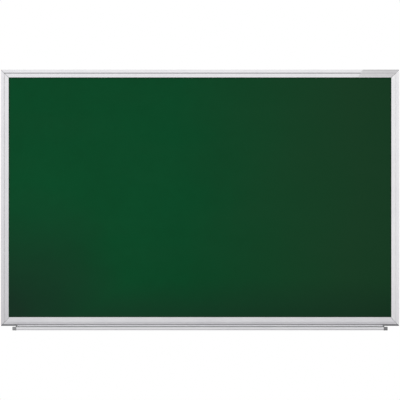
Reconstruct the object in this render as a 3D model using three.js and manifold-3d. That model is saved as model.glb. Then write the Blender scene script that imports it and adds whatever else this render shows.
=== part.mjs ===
// A wall chalkboard: a green enamelled steel writing panel in a mitred aluminium frame,
// with a chalk tray that slides along the bottom rail and hanger plates in the back corners.
//
// Millimetres. X runs across the board, Z is up, and the wall is the plane Y = 0 with the
// board in front of it, towards -Y. The origin is on the wall, at the middle of the top rail's
// flat back.
//
// Sections are drawn in two lengths: "across" is measured from the frame's outer edge inwards,
// and "out" is measured from the wall forwards.

import * as THREE from 'three';
import { mergeVertices } from 'three/addons/utils/BufferGeometryUtils.js';
import Module from 'manifold-3d';

const wasm = await Module();
wasm.setup();

// Overall size of the frame
const BOARD_WIDTH = 1500;
const BOARD_HEIGHT = 965;

// Clearances
const FIT_GAP = 0.3;
const GLUE_LINE = 0.1;
const MITRE_GAP = 0.3;
const PANEL_EDGE_GAP = 1;

// Writing panel, from front to back
const SHEET_THICK = 0.5;
const CORE_THICK = 9;
const BACKING_THICK = 0.3;

// Hanger plates
const PLATE_THICK = 1.8;
const PLATE_LEG = 80;
const PLATE_END = 9;
const DISH_DEPTH = 3.4;
const DISH_RIM = 5;
const DISH_END = 10;
const DISH_BESIDE_LIP = 1.5;
const KEY_ACROSS = 42;
const KEY_TRAVEL = 10.5;
const KEY_ENTRY_RADIUS = 5.5;
const KEY_SLOT_WIDTH = 5.6;
const KEY_SHANK = 5;
const LOWER_KEY_UP = 34;

// Rail section
const RAIL_FACE = 29.5;
const BOTTOM_RAIL_EXTRA = 3.5;
const RAIL_WALL = 1.6;
const BOX_ACROSS = 15;
const OUTER_BAND = 12.1;
const EDGE_RADIUS = 7.8;
const GROOVE_WIDTH = 2.4;
const GROOVE_DEPTH = 2.6;
const BAND_STEP = 1;
const BAND_FALL = 3.4;
const LIP_THICK = 1.4;
const LIP_LAND = 2;
const LIP_RADIUS = 0.8;
const REAR_LIP_OUT = 6.6;
const REAR_LIP_THICK = 1.4;
const REAR_LIP_REACH = 7;
const LEDGE_THICK = 1.2;
const LEDGE_REACH = 9;

// Slot along the outer side of each rail, which the chalk tray hangs in
const TRAY_SLOT_OUT = 10;
const TRAY_SLOT_MOUTH = 6;
const TRAY_SLOT_WIDTH = 10;
const TRAY_SLOT_DEPTH = 3;

// Corner cleats and screws
const CLEAT_ARM = 60;
const CLEAT_THICK = 12;
const CLEAT_EASE = 2;
const CLEAT_SCREW_FROM_TIP = 18.5;
const CLEAT_SCREW_LENGTH = 6;
const PLATE_SCREW_FROM_TIP = 13.3;
const PLATE_SCREW_LENGTH = 5;
const FRAME_SCREW_RADIUS = 2;
const FRAME_SOCKET_WIDTH = 2;
const SCREW_STANDS_PROUD = 0.4;
const SCREW_EASE = 0.4;
const SOCKET_DEPTH = 1.8;

// Levelling cams
const CAM_RADIUS = 10;
const CAM_THICK = 2.4;
const CAM_THROW = 2.5;
const CAM_BESIDE_RAIL = 2;
const CAM_NOTCHES = 12;
const CAM_NOTCH_RADIUS = 1;
const CAM_NOTCH_PAST_RIM = 0.3;
const RIVET_RADIUS = 3;
const RIVET_HEAD_RADIUS = 5;
const RIVET_TAIL_RADIUS = 3.8;
const RIVET_HEAD_THICK = 1;

// Chalk tray
const TRAY_END_ROOM = 47.4;
const TRAY_WALL = 1.5;
const TRAY_RAIL_GAP = 0.4;
const TRAY_FLANGE_THICK = 1.6;
const TRAY_FLANGE_REAR = 4;
const UPSTAND_HEIGHT = 4.1;
const UPSTAND_RADIUS = 0.6;
const SHELF_LEVEL = 0.3;
const SHELF_DEPTH = 16;
const SHELF_EASE = 3;
const TROUGH_DIP = 9.6;
const TROUGH_FLAT = 9;
const TROUGH_EASE = 3;
const TROUGH_FRONT_RUN = 6.3;
const BEAD_RADIUS = 5.8;
const BEAD_FRONT_RADIUS = 2.6;
const BEAD_BORE_RADIUS = 4.3;
const BEAD_OUT = 56.4;
const BEAD_DROP = 7.4;
const FLOOR_TOP_MEETS_BEAD = THREE.MathUtils.degToRad(-55);
const FLOOR_UNDER_MEETS_BEAD = THREE.MathUtils.degToRad(-86);
const TONGUE_HEAD = 2.4;
const TRAY_SCREW_RADIUS = 1.5;
const TRAY_SOCKET_WIDTH = 1.5;
const TRAY_SCREW_FROM_END = 180;

// Tray end caps
const CAP_LENGTH = 13.8;
const CAP_PLATE_THICK = 2.2;
const CAP_OVERLAP = 1;
const CAP_PLATE_LEDGE = 0.6;
const CAP_EASE = 1.2;
const CAP_EASE_STEPS = 3;
const CAP_PEG_LENGTH = 16;
const CAP_RAIL_GAP = 0.5;

// Bare clip over the right end of the top rail
const CLIP_THICK = 0.8;
const CLIP_FROM_MITRE = 0.4;
const CLIP_LENGTH = 136.6;
const CLIP_SLANT = 0.6;
const CLIP_START_ANGLE = THREE.MathUtils.degToRad(150);
const CLIP_BOTTOM_ACROSS = 27.5;
const CLIP_RIB_WIDTH = 1.4;
const CLIP_RIB_DEPTH = 1.3;
const CLIP_LINE_DEPTH = 0.4;
const CLIP_LINE_EASE = 0.3;

// Round shapes
const ROUND_SIDES = 32;
const SCREW_SIDES = 16;
const NOTCH_SIDES = 8;
const HEXAGON = 6;
const ARC_STEPS = 4;
const TRAY_CURVE_STEPS = 10;

// How far a cutting solid runs past the faces that it cuts
const OVERCUT = 1;

// Depths that follow from the ones above, all measured out from the wall
const channelRear = REAR_LIP_OUT + REAR_LIP_THICK;
const plateRear = channelRear + FIT_GAP;
const plateFront = plateRear + PLATE_THICK;
const slotRear = plateFront + FIT_GAP + LEDGE_THICK;
const backingRear = slotRear + FIT_GAP;
const coreRear = backingRear + BACKING_THICK + GLUE_LINE;
const sheetRear = coreRear + CORE_THICK + GLUE_LINE;
const slotFront = sheetRear + SHEET_THICK + FIT_GAP;
const lipFront = slotFront + LIP_THICK;
const railDepth = lipFront + BAND_FALL + BAND_STEP;
const dishRear = plateRear - DISH_DEPTH;
const camRear = dishRear - FIT_GAP - CAM_THICK;

// Widths that follow, all measured across from the frame's outer edge
const webOuter = BOX_ACROSS - RAIL_WALL;
const grooveInner = OUTER_BAND + GROOVE_WIDTH;
const slotFloor = RAIL_WALL + TRAY_SLOT_DEPTH;
const chamberOuter = slotFloor + RAIL_WALL;
const bottomFace = RAIL_FACE + BOTTOM_RAIL_EXTRA;
const panelEdge = BOX_ACROSS + PANEL_EDGE_GAP;
const dishStart = BOX_ACROSS + REAR_LIP_REACH + DISH_BESIDE_LIP;
const plateStart = BOX_ACROSS + FIT_GAP;
const plateScrewAcross = BOX_ACROSS + REAR_LIP_REACH / 2;
const camPivotDown = BOX_ACROSS + CAM_BESIDE_RAIL + CAM_RADIUS + CAM_THROW;
const cleatScrewOut = (RAIL_WALL + REAR_LIP_OUT) / 2;

// Places along the rails that follow
const cleatScrewAlong = chamberOuter + FIT_GAP + CLEAT_ARM - CLEAT_SCREW_FROM_TIP;
const plateScrewAlong = plateStart + PLATE_LEG - PLATE_SCREW_FROM_TIP;
const trayLength = BOARD_WIDTH - 2 * (TRAY_END_ROOM + CAP_LENGTH + FIT_GAP);
const trayScrewAlong = trayLength / 2 - TRAY_SCREW_FROM_END;
const clipRight = BOARD_WIDTH / 2 - CLIP_FROM_MITRE;
const clipLeft = clipRight - CLIP_LENGTH;

// Heights in the board's own frame: the origin is at the middle of the top rail's back
const topEdge = BOX_ACROSS / 2;
const bottomEdge = topEdge - BOARD_HEIGHT;

const ALUMINIUM = { color: 0xd6d8d9, roughness: 0.38, metalness: 0.9 };
const ENAMEL = { color: 0x104a29, roughness: 0.45, metalness: 0.0 };
const BOARD_CORE = { color: 0xa98c63, roughness: 0.9, metalness: 0.0 };
const GALVANISED = { color: 0xaeb3b6, roughness: 0.5, metalness: 0.8 };
const ZINC = { color: 0x9ea3a6, roughness: 0.55, metalness: 0.7 };
const PLATED_STEEL = { color: 0xc4c6c6, roughness: 0.35, metalness: 0.9 };
const GREY_PLASTIC = { color: 0x7d7f82, roughness: 0.55, metalness: 0.0 };
const PALE_PLASTIC = { color: 0xcdcdcf, roughness: 0.5, metalness: 0.0 };

// Solids

function solid(geometry) {
  const bare = geometry.index ? geometry.toNonIndexed() : geometry.clone();
  bare.deleteAttribute('normal');
  bare.deleteAttribute('uv');
  const merged = mergeVertices(bare);
  return new wasm.Manifold(new wasm.Mesh({
    numProp: 3,
    vertProperties: new Float32Array(merged.attributes.position.array),
    triVerts: new Uint32Array(merged.index.array),
  }));
}

function geometryOf(body) {
  const mesh = body.getMesh();
  const geometry = new THREE.BufferGeometry();
  geometry.setAttribute('position', new THREE.BufferAttribute(mesh.vertProperties, 3));
  geometry.setIndex(new THREE.BufferAttribute(mesh.triVerts, 1));
  geometry.computeVertexNormals();
  return geometry;
}

function piece(name, geometry, finish) {
  const mesh = new THREE.Mesh(geometry, new THREE.MeshStandardMaterial(finish));
  mesh.name = name;
  return mesh;
}

function polygon(points) {
  return new THREE.Shape(points.map(([x, y]) => new THREE.Vector2(x, y)));
}

function prism(shape, from, to, curveSteps = ARC_STEPS) {
  const options = { depth: to - from, bevelEnabled: false, curveSegments: curveSteps };
  return new THREE.ExtrudeGeometry(shape, options).translate(0, 0, from);
}

function rod(radius, from, to, sides = SCREW_SIDES) {
  return new THREE.CylinderGeometry(radius, radius, to - from, sides).translate(0, (from + to) / 2, 0);
}

// A headless screw along +Y with its point at 0 and a hexagon socket in the far end
function grubScrew(radius, length, socketWidth) {
  const profile = [
    new THREE.Vector2(0, 0),
    new THREE.Vector2(radius - SCREW_EASE, 0),
    new THREE.Vector2(radius, SCREW_EASE),
    new THREE.Vector2(radius, length),
    new THREE.Vector2(0, length),
  ];
  const socketRadius = socketWidth / Math.sqrt(3);
  const socket = rod(socketRadius, length - SOCKET_DEPTH, length + SOCKET_DEPTH, HEXAGON);
  return geometryOf(solid(new THREE.LatheGeometry(profile, SCREW_SIDES)).subtract(solid(socket)));
}

// Frame rails

// Section of a rail with the given face, the width that is seen from the front
function railSection(face) {
  const outline = new THREE.Shape();
  const mouthRear = TRAY_SLOT_OUT - TRAY_SLOT_MOUTH / 2;
  const mouthFront = TRAY_SLOT_OUT + TRAY_SLOT_MOUTH / 2;
  const cavityRear = TRAY_SLOT_OUT - TRAY_SLOT_WIDTH / 2;
  const cavityFront = TRAY_SLOT_OUT + TRAY_SLOT_WIDTH / 2;

  // back of the hollow box, rear lip, hanger plate channel and panel ledge
  outline.moveTo(0, 0);
  outline.lineTo(BOX_ACROSS, 0);
  outline.lineTo(BOX_ACROSS, REAR_LIP_OUT);
  outline.lineTo(BOX_ACROSS + REAR_LIP_REACH, REAR_LIP_OUT);
  outline.lineTo(BOX_ACROSS + REAR_LIP_REACH, channelRear);
  outline.lineTo(BOX_ACROSS, channelRear);
  outline.lineTo(BOX_ACROSS, plateFront + FIT_GAP);
  outline.lineTo(BOX_ACROSS + LEDGE_REACH, plateFront + FIT_GAP);
  outline.lineTo(BOX_ACROSS + LEDGE_REACH, slotRear);
  outline.lineTo(BOX_ACROSS, slotRear);

  // underside of the inner band, and the lip that bears on the writing sheet
  outline.lineTo(BOX_ACROSS, railDepth - GROOVE_DEPTH - RAIL_WALL);
  outline.lineTo(face - LIP_LAND, slotFront);
  outline.lineTo(face, slotFront);
  outline.lineTo(face, lipFront - LIP_RADIUS);
  outline.quadraticCurveTo(face, lipFront, face - LIP_RADIUS, lipFront);

  // sloping inner band, groove, raised outer band and rounded outer edge
  outline.lineTo(grooveInner, railDepth - BAND_STEP);
  outline.lineTo(grooveInner, railDepth - GROOVE_DEPTH);
  outline.lineTo(OUTER_BAND, railDepth - GROOVE_DEPTH);
  outline.lineTo(OUTER_BAND, railDepth);
  outline.lineTo(EDGE_RADIUS, railDepth);
  outline.absarc(EDGE_RADIUS, railDepth - EDGE_RADIUS, EDGE_RADIUS, Math.PI / 2, Math.PI, false);

  // tray slot in the outer side
  outline.lineTo(0, mouthFront);
  outline.lineTo(RAIL_WALL, mouthFront);
  outline.lineTo(RAIL_WALL, cavityFront);
  outline.lineTo(slotFloor, cavityFront);
  outline.lineTo(slotFloor, cavityRear);
  outline.lineTo(RAIL_WALL, cavityRear);
  outline.lineTo(RAIL_WALL, mouthRear);
  outline.lineTo(0, mouthRear);

  // hollow that takes the corner cleats
  const innerRadius = EDGE_RADIUS - RAIL_WALL;
  const hollow = new THREE.Path();
  hollow.moveTo(chamberOuter, RAIL_WALL);
  hollow.lineTo(webOuter, RAIL_WALL);
  hollow.lineTo(webOuter, railDepth - GROOVE_DEPTH - RAIL_WALL);
  hollow.lineTo(OUTER_BAND - RAIL_WALL, railDepth - RAIL_WALL);
  hollow.lineTo(EDGE_RADIUS, railDepth - RAIL_WALL);
  hollow.absarc(EDGE_RADIUS, railDepth - EDGE_RADIUS, innerRadius, Math.PI / 2, Math.PI, false);
  hollow.lineTo(RAIL_WALL, cavityFront + RAIL_WALL);
  hollow.lineTo(chamberOuter, cavityFront + RAIL_WALL);
  outline.holes.push(hollow);
  return outline;
}

// What is sawn off a rail's +Z end, seen in plan: a mitre as far in as the side rails reach, and
// square past them
function endWaste(length, face) {
  const end = length / 2 - MITRE_GAP / Math.SQRT2;
  const beyond = length / 2 + OVERCUT;
  const plan = polygon([
    [-OVERCUT, end + OVERCUT],
    [RAIL_FACE, end - RAIL_FACE],
    [face + OVERCUT, end - RAIL_FACE],
    [face + OVERCUT, beyond],
    [-OVERCUT, beyond],
  ]);
  return prism(plan, -railDepth - OVERCUT, OVERCUT).rotateX(Math.PI / 2);
}

function railGeometry(length, face = RAIL_FACE) {
  let body = solid(prism(railSection(face), -length / 2, length / 2));
  for (const end of [-1, 1]) {
    const waste = endWaste(length, face);
    if (end < 0) waste.rotateX(Math.PI).translate(0, railDepth, 0);
    body = body.subtract(solid(waste));
    const holeRadius = FRAME_SCREW_RADIUS + FIT_GAP;
    const cleatHole = rod(holeRadius, webOuter - OVERCUT, BOX_ACROSS + OVERCUT).rotateZ(-Math.PI / 2);
    cleatHole.translate(0, cleatScrewOut, end * (length / 2 - cleatScrewAlong));
    const plateHole = rod(holeRadius, REAR_LIP_OUT - OVERCUT, channelRear + OVERCUT);
    plateHole.translate(plateScrewAcross, 0, end * (length / 2 - plateScrewAlong));
    body = body.subtract(solid(cleatHole)).subtract(solid(plateHole));
  }
  return geometryOf(body);
}

// A group whose X runs across the rail, Y out from the wall and Z along the rail
function railFrame(across, along, position) {
  const group = new THREE.Group();
  const out = new THREE.Vector3(0, -1, 0);
  group.applyMatrix4(new THREE.Matrix4().makeBasis(across, out, along));
  group.position.copy(position);
  return group;
}

// Panel layers

function panelLayer(name, rear, thick, finish) {
  const width = BOARD_WIDTH - 2 * panelEdge;
  const height = BOARD_HEIGHT - 2 * panelEdge;
  const layer = piece(name, new THREE.BoxGeometry(width, thick, height), finish);
  layer.position.set(0, -(rear + thick / 2), (topEdge + bottomEdge) / 2);
  return layer;
}

// Corner hardware: X runs inwards from the frame's side edge and Z inwards from its top or
// bottom edge, and Y is the board's own

function cornerPrism(shape, outFrom, outTo) {
  return prism(shape, outFrom, outTo).rotateX(Math.PI / 2);
}

function cornerRod(radius, outFrom, outTo, across, down, sides = SCREW_SIDES) {
  return rod(radius, -outTo, -outFrom, sides).translate(across, 0, down);
}

function cleatGeometry() {
  const near = chamberOuter + FIT_GAP;
  const far = webOuter - FIT_GAP;
  const tip = near + CLEAT_ARM;
  const shape = polygon([
    [near + CLEAT_EASE, near],
    [tip - CLEAT_EASE, near],
    [tip, near + CLEAT_EASE],
    [tip, far],
    [far, far],
    [far, tip],
    [near + CLEAT_EASE, tip],
    [near, tip - CLEAT_EASE],
    [near, near + CLEAT_EASE],
  ]);
  const rear = RAIL_WALL + FIT_GAP;
  const seatRadius = FRAME_SCREW_RADIUS + FIT_GAP;
  const seatFrom = BOX_ACROSS + SCREW_STANDS_PROUD - CLEAT_SCREW_LENGTH - FIT_GAP;
  const upright = rod(seatRadius, seatFrom, far + OVERCUT).rotateX(Math.PI / 2);
  upright.translate(cleatScrewAlong, -cleatScrewOut, 0);
  const across = rod(seatRadius, seatFrom, far + OVERCUT).rotateZ(-Math.PI / 2);
  across.translate(0, -cleatScrewOut, cleatScrewAlong);
  const body = solid(cornerPrism(shape, rear, rear + CLEAT_THICK));
  return geometryOf(body.subtract(solid(upright)).subtract(solid(across)));
}

// Right-angled outline with cut-off points, drawn in by the inset on every side
function plateOutline(start, leg, end, inset = 0) {
  const near = start + inset;
  const far = start + leg - inset;
  const cut = near + end - Math.SQRT2 * inset;
  return polygon([[near, near], [far, near], [far, cut], [cut, far], [near, far]]);
}

// Pressed plate: its flange slides in the rails' channels and its dish stands back to the wall
function hangerPlateGeometry(isUpper) {
  const flangeSum = PLATE_LEG + PLATE_END + 2 * plateStart;
  const dishLeg = flangeSum - DISH_RIM * Math.SQRT2 - DISH_END - 2 * dishStart;
  const flange = cornerPrism(plateOutline(plateStart, PLATE_LEG, PLATE_END), plateRear, plateFront);
  const dish = cornerPrism(plateOutline(dishStart, dishLeg, DISH_END), dishRear, plateFront);
  const inside = plateOutline(dishStart, dishLeg, DISH_END, PLATE_THICK);
  const hollow = cornerPrism(inside, dishRear + PLATE_THICK, plateFront + OVERCUT);

  const reachOut = [dishRear - OVERCUT, dishRear + PLATE_THICK + OVERCUT];
  const slotEnd = isUpper
    ? camPivotDown + CAM_RADIUS - CAM_THROW + KEY_SHANK / 2 - FIT_GAP
    : LOWER_KEY_UP + KEY_TRAVEL + 2 * CAM_THROW;
  const entry = isUpper
    ? camPivotDown + CAM_RADIUS + CAM_THROW + KEY_SHANK / 2 + KEY_TRAVEL
    : LOWER_KEY_UP;
  const entryHole = cornerRod(KEY_ENTRY_RADIUS, ...reachOut, KEY_ACROSS, entry, ROUND_SIDES);
  const slotHole = cornerRod(KEY_SLOT_WIDTH / 2, ...reachOut, KEY_ACROSS, slotEnd);
  const slotShape = polygon([
    [KEY_ACROSS - KEY_SLOT_WIDTH / 2, slotEnd],
    [KEY_ACROSS + KEY_SLOT_WIDTH / 2, slotEnd],
    [KEY_ACROSS + KEY_SLOT_WIDTH / 2, entry],
    [KEY_ACROSS - KEY_SLOT_WIDTH / 2, entry],
  ]);
  let body = solid(flange).add(solid(dish)).subtract(solid(hollow));
  body = body.subtract(solid(entryHole)).subtract(solid(slotHole));
  body = body.subtract(solid(cornerPrism(slotShape, ...reachOut)));
  if (isUpper) {
    const pivotHole = cornerRod(RIVET_RADIUS + FIT_GAP, ...reachOut, KEY_ACROSS, camPivotDown);
    body = body.subtract(solid(pivotHole));
  }
  return geometryOf(body);
}

// Eccentric disc about its own pivot, with a notched rim that the wall screw seats in
function camGeometry() {
  const disc = rod(CAM_RADIUS, 0, CAM_THICK, ROUND_SIDES);
  disc.translate(CAM_THROW, 0, 0);
  const through = [-OVERCUT, CAM_THICK + OVERCUT];
  let body = solid(disc).subtract(solid(rod(RIVET_RADIUS + FIT_GAP, ...through)));
  for (let i = 0; i < CAM_NOTCHES; i += 1) {
    const turn = (2 * Math.PI * (i + 0.5)) / CAM_NOTCHES;
    const notch = rod(CAM_NOTCH_RADIUS, ...through, NOTCH_SIDES);
    const rim = CAM_RADIUS + CAM_NOTCH_PAST_RIM;
    notch.translate(CAM_THROW + rim * Math.cos(turn), 0, rim * Math.sin(turn));
    body = body.subtract(solid(notch));
  }
  return geometryOf(body);
}

// Rivet along +Y: its tail behind the dish floor at 0, its head towards the wall
function rivetGeometry() {
  const shank = FIT_GAP + PLATE_THICK + FIT_GAP + CAM_THICK + FIT_GAP;
  const shoulder = RIVET_HEAD_THICK + shank;
  const profile = [
    new THREE.Vector2(0, 0),
    new THREE.Vector2(RIVET_TAIL_RADIUS, 0),
    new THREE.Vector2(RIVET_TAIL_RADIUS, RIVET_HEAD_THICK),
    new THREE.Vector2(RIVET_RADIUS, RIVET_HEAD_THICK),
    new THREE.Vector2(RIVET_RADIUS, shoulder),
    new THREE.Vector2(RIVET_HEAD_RADIUS, shoulder),
    new THREE.Vector2(RIVET_HEAD_RADIUS, shoulder + RIVET_HEAD_THICK),
    new THREE.Vector2(0, shoulder + RIVET_HEAD_THICK),
  ];
  return new THREE.LatheGeometry(profile, SCREW_SIDES);
}

function cornerHardware(vertical, side) {
  const name = `${vertical}_${side}`;
  const isUpper = vertical === 'top';
  const group = new THREE.Group();
  const sideSign = side === 'left' ? -1 : 1;
  group.position.set(sideSign * BOARD_WIDTH / 2, 0, isUpper ? topEdge : bottomEdge);
  group.scale.set(-sideSign, 1, isUpper ? -1 : 1);

  group.add(piece(`corner_cleat_${name}`, cleatGeometry(), ZINC));
  group.add(piece(`hanger_plate_${name}`, hangerPlateGeometry(isUpper), GALVANISED));

  const tip = BOX_ACROSS + SCREW_STANDS_PROUD - CLEAT_SCREW_LENGTH;
  const cleatScrew = () => grubScrew(FRAME_SCREW_RADIUS, CLEAT_SCREW_LENGTH, FRAME_SOCKET_WIDTH);
  const acrossScrew = piece(`cleat_screw_${name}_across`, cleatScrew(), PLATED_STEEL);
  acrossScrew.rotation.x = Math.PI / 2;
  acrossScrew.position.set(cleatScrewAlong, -cleatScrewOut, tip);
  const uprightScrew = piece(`cleat_screw_${name}_upright`, cleatScrew(), PLATED_STEEL);
  uprightScrew.rotation.z = -Math.PI / 2;
  uprightScrew.position.set(tip, -cleatScrewOut, cleatScrewAlong);
  group.add(acrossScrew, uprightScrew);

  const plateScrew = () => grubScrew(FRAME_SCREW_RADIUS, PLATE_SCREW_LENGTH, FRAME_SOCKET_WIDTH);
  const plateAcross = piece(`plate_screw_${name}_across`, plateScrew(), PLATED_STEEL);
  plateAcross.position.set(plateScrewAlong, -channelRear, plateScrewAcross);
  const plateUpright = piece(`plate_screw_${name}_upright`, plateScrew(), PLATED_STEEL);
  plateUpright.position.set(plateScrewAcross, -channelRear, plateScrewAlong);
  group.add(plateAcross, plateUpright);

  if (isUpper) {
    const cam = piece(`levelling_cam_${side}`, camGeometry(), PLATED_STEEL);
    cam.position.set(KEY_ACROSS, -(camRear + CAM_THICK), camPivotDown);
    const rivet = piece(`cam_rivet_${side}`, rivetGeometry(), PLATED_STEEL);
    const tail = dishRear + PLATE_THICK + FIT_GAP + RIVET_HEAD_THICK;
    rivet.position.set(KEY_ACROSS, -tail, camPivotDown);
    group.add(cam, rivet);
  }
  return group;
}

// Chalk tray, in the bottom rail's frame

const beadAcross = -BEAD_DROP;
const beadOut = railDepth + BEAD_OUT;
const upstandRear = railDepth + TRAY_RAIL_GAP;
const upstandFront = upstandRear + TRAY_WALL;
const flangeTop = -TRAY_RAIL_GAP;
const flangeBottom = flangeTop - TRAY_FLANGE_THICK;

function onBead(angle, radius) {
  return [beadAcross + radius * Math.cos(angle), beadOut + radius * Math.sin(angle)];
}

// Goes on round the bead's flat front, from its lowest point to its highest
function goRoundFront(outline, reach, cornerRadius) {
  const low = beadAcross - reach + cornerRadius;
  const high = beadAcross + reach - cornerRadius;
  const out = beadOut + reach - cornerRadius;
  outline.absarc(low, out, cornerRadius, Math.PI, Math.PI / 2, true);
  outline.absarc(high, out, cornerRadius, Math.PI / 2, 0, true);
  outline.lineTo(...onBead(0, reach));
}

// Where the tray's floor bends, and where its top meets the bead
const joint = new THREE.Vector2(...onBead(FLOOR_TOP_MEETS_BEAD, BEAD_RADIUS));
const shelfEdge = new THREE.Vector2(SHELF_LEVEL, upstandFront + SHELF_DEPTH);
const troughFront = new THREE.Vector2(-TROUGH_DIP, joint.y - TROUGH_FRONT_RUN);
const troughRear = troughFront.clone().sub(new THREE.Vector2(0, TROUGH_FLAT));

// Top of the tray's floor from the upstand to the bead: a flat shelf and the chalk trough
function floorLine() {
  const corners = [
    [shelfEdge, SHELF_EASE],
    [troughRear, TROUGH_EASE],
    [troughFront, TROUGH_EASE],
  ];
  const spots = [new THREE.Vector2(SHELF_LEVEL, upstandFront), ...corners.map(([spot]) => spot), joint];
  const line = new THREE.Path();
  line.moveTo(spots[0].x, spots[0].y);
  corners.forEach(([spot, ease], i) => {
    const before = spots[i].clone().sub(spot).setLength(ease).add(spot);
    const after = spots[i + 2].clone().sub(spot).setLength(ease).add(spot);
    line.lineTo(before.x, before.y);
    line.quadraticCurveTo(spot.x, spot.y, after.x, after.y);
  });
  line.lineTo(joint.x, joint.y);
  return line.getPoints(ARC_STEPS);
}

// Points that run beside a line's points, at a distance to the side that faces the wall and the ground
function besideLine(points, distance) {
  const ways = points.slice(1).map((point, i) => {
    const along = point.clone().sub(points[i]).normalize();
    return new THREE.Vector2(-along.y, along.x);
  });
  return points.map((point, i) => {
    const before = ways[Math.max(i - 1, 0)];
    const after = ways[Math.min(i, ways.length - 1)];
    const both = before.clone().add(after);
    return point.clone().addScaledVector(both, distance / (1 + before.dot(after)));
  });
}

function traySection() {
  const floor = floorLine();
  const under = besideLine(floor, TRAY_WALL);
  const tongueFrom = RAIL_WALL + FIT_GAP;
  const tongueTo = tongueFrom + TONGUE_HEAD;
  const neckHalf = TRAY_SLOT_MOUTH / 2 - FIT_GAP;
  const headHalf = TRAY_SLOT_WIDTH / 2 - FIT_GAP;

  const outline = new THREE.Shape();
  outline.moveTo(flangeBottom, TRAY_FLANGE_REAR);
  outline.lineTo(flangeBottom, upstandFront);
  outline.lineTo(SHELF_LEVEL - TRAY_WALL, upstandFront);
  for (const { x, y } of under.slice(1, -1)) outline.lineTo(x, y);
  outline.absarc(beadAcross, beadOut, BEAD_RADIUS, FLOOR_UNDER_MEETS_BEAD, -Math.PI, true);
  goRoundFront(outline, BEAD_RADIUS, BEAD_FRONT_RADIUS);
  outline.absarc(beadAcross, beadOut, BEAD_RADIUS, 0, FLOOR_TOP_MEETS_BEAD, true);
  for (const { x, y } of floor.slice(0, -1).reverse()) outline.lineTo(x, y);
  outline.lineTo(UPSTAND_HEIGHT - UPSTAND_RADIUS, upstandFront);
  outline.quadraticCurveTo(
    UPSTAND_HEIGHT, upstandFront,
    UPSTAND_HEIGHT, upstandFront - UPSTAND_RADIUS,
  );
  outline.lineTo(UPSTAND_HEIGHT, upstandRear);
  outline.lineTo(flangeTop, upstandRear);
  outline.lineTo(flangeTop, TRAY_SLOT_OUT + neckHalf);
  outline.lineTo(tongueFrom, TRAY_SLOT_OUT + neckHalf);
  outline.lineTo(tongueFrom, TRAY_SLOT_OUT + headHalf);
  outline.lineTo(tongueTo, TRAY_SLOT_OUT + headHalf);
  outline.lineTo(tongueTo, TRAY_SLOT_OUT - headHalf);
  outline.lineTo(tongueFrom, TRAY_SLOT_OUT - headHalf);
  outline.lineTo(tongueFrom, TRAY_SLOT_OUT - neckHalf);
  outline.lineTo(flangeTop, TRAY_SLOT_OUT - neckHalf);
  outline.lineTo(flangeTop, TRAY_FLANGE_REAR);

  const bore = new THREE.Path();
  bore.absarc(beadAcross, beadOut, BEAD_BORE_RADIUS, 0, 2 * Math.PI, false);
  outline.holes.push(bore);
  return outline;
}

function trayGeometry() {
  let body = solid(prism(traySection(), -trayLength / 2, trayLength / 2, TRAY_CURVE_STEPS));
  for (const end of [-1, 1]) {
    const hole = rod(TRAY_SCREW_RADIUS + FIT_GAP, flangeBottom - OVERCUT, slotFloor);
    hole.rotateZ(-Math.PI / 2).translate(0, TRAY_SLOT_OUT, end * trayScrewAlong);
    body = body.subtract(solid(hole));
  }
  return geometryOf(body);
}

// Outline that closes the end of the tray, from the rail to round the bead
function capSection() {
  const rear = railDepth + CAP_RAIL_GAP;
  const overlap = CAP_OVERLAP + CAP_PLATE_LEDGE;
  const outline = new THREE.Shape();
  outline.moveTo(UPSTAND_HEIGHT + overlap, rear);
  outline.lineTo(flangeBottom - overlap, rear);
  outline.lineTo(troughRear.x - TRAY_WALL - overlap, troughRear.y);
  outline.lineTo(...onBead(Math.PI, BEAD_RADIUS + overlap));
  goRoundFront(outline, BEAD_RADIUS + overlap, BEAD_FRONT_RADIUS + overlap);
  outline.closePath();
  return outline;
}

// Knob that carries the bead on past the end plate, with eased ends, of which one is in the plate
function knobGeometry(from) {
  const reach = BEAD_RADIUS + CAP_OVERLAP;
  const outline = new THREE.Shape();
  outline.absarc(beadAcross, beadOut, reach, 0, -Math.PI, true);
  goRoundFront(outline, reach, BEAD_FRONT_RADIUS + CAP_OVERLAP);
  const knob = new THREE.ExtrudeGeometry(outline, {
    depth: CAP_LENGTH - 2 * CAP_EASE,
    bevelThickness: CAP_EASE,
    bevelSize: CAP_EASE,
    bevelOffset: -CAP_EASE,
    bevelSegments: CAP_EASE_STEPS,
    curveSegments: TRAY_CURVE_STEPS,
  });
  return knob.translate(0, 0, from + CAP_EASE);
}

// Moulded cap on the +Z end of the tray: an end plate, a knob that carries the bead on, and a peg
// that fits the bore of the bead
function capGeometry() {
  const inner = trayLength / 2 + FIT_GAP;
  const plate = prism(capSection(), inner, inner + CAP_PLATE_THICK, TRAY_CURVE_STEPS);
  const knob = knobGeometry(inner);
  const peg = rod(BEAD_BORE_RADIUS - FIT_GAP, inner - CAP_PEG_LENGTH, inner + OVERCUT);
  peg.rotateX(Math.PI / 2).translate(beadAcross, beadOut, 0);
  return geometryOf(solid(plate).add(solid(knob)).add(solid(peg)));
}

function chalkTray() {
  const group = new THREE.Group();
  group.add(piece('chalk_tray', trayGeometry(), ALUMINIUM));
  for (const [side, end] of [['left', -1], ['right', 1]]) {
    const cap = piece(`tray_cap_${side}`, capGeometry(), GREY_PLASTIC);
    cap.scale.z = end;
    group.add(cap);
    const from = slotFloor - FIT_GAP;
    const length = from - flangeBottom + FIT_GAP;
    const screw = grubScrew(TRAY_SCREW_RADIUS, length, TRAY_SOCKET_WIDTH);
    const lock = piece(`tray_lock_screw_${side}`, screw, PLATED_STEEL);
    lock.rotation.z = Math.PI / 2;
    lock.position.set(from, TRAY_SLOT_OUT, end * trayScrewAlong);
    group.add(lock);
  }
  return group;
}

// Bare clip that follows the top rail's front, with a rib in its groove and a fine line in its face
// over the rib

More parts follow.
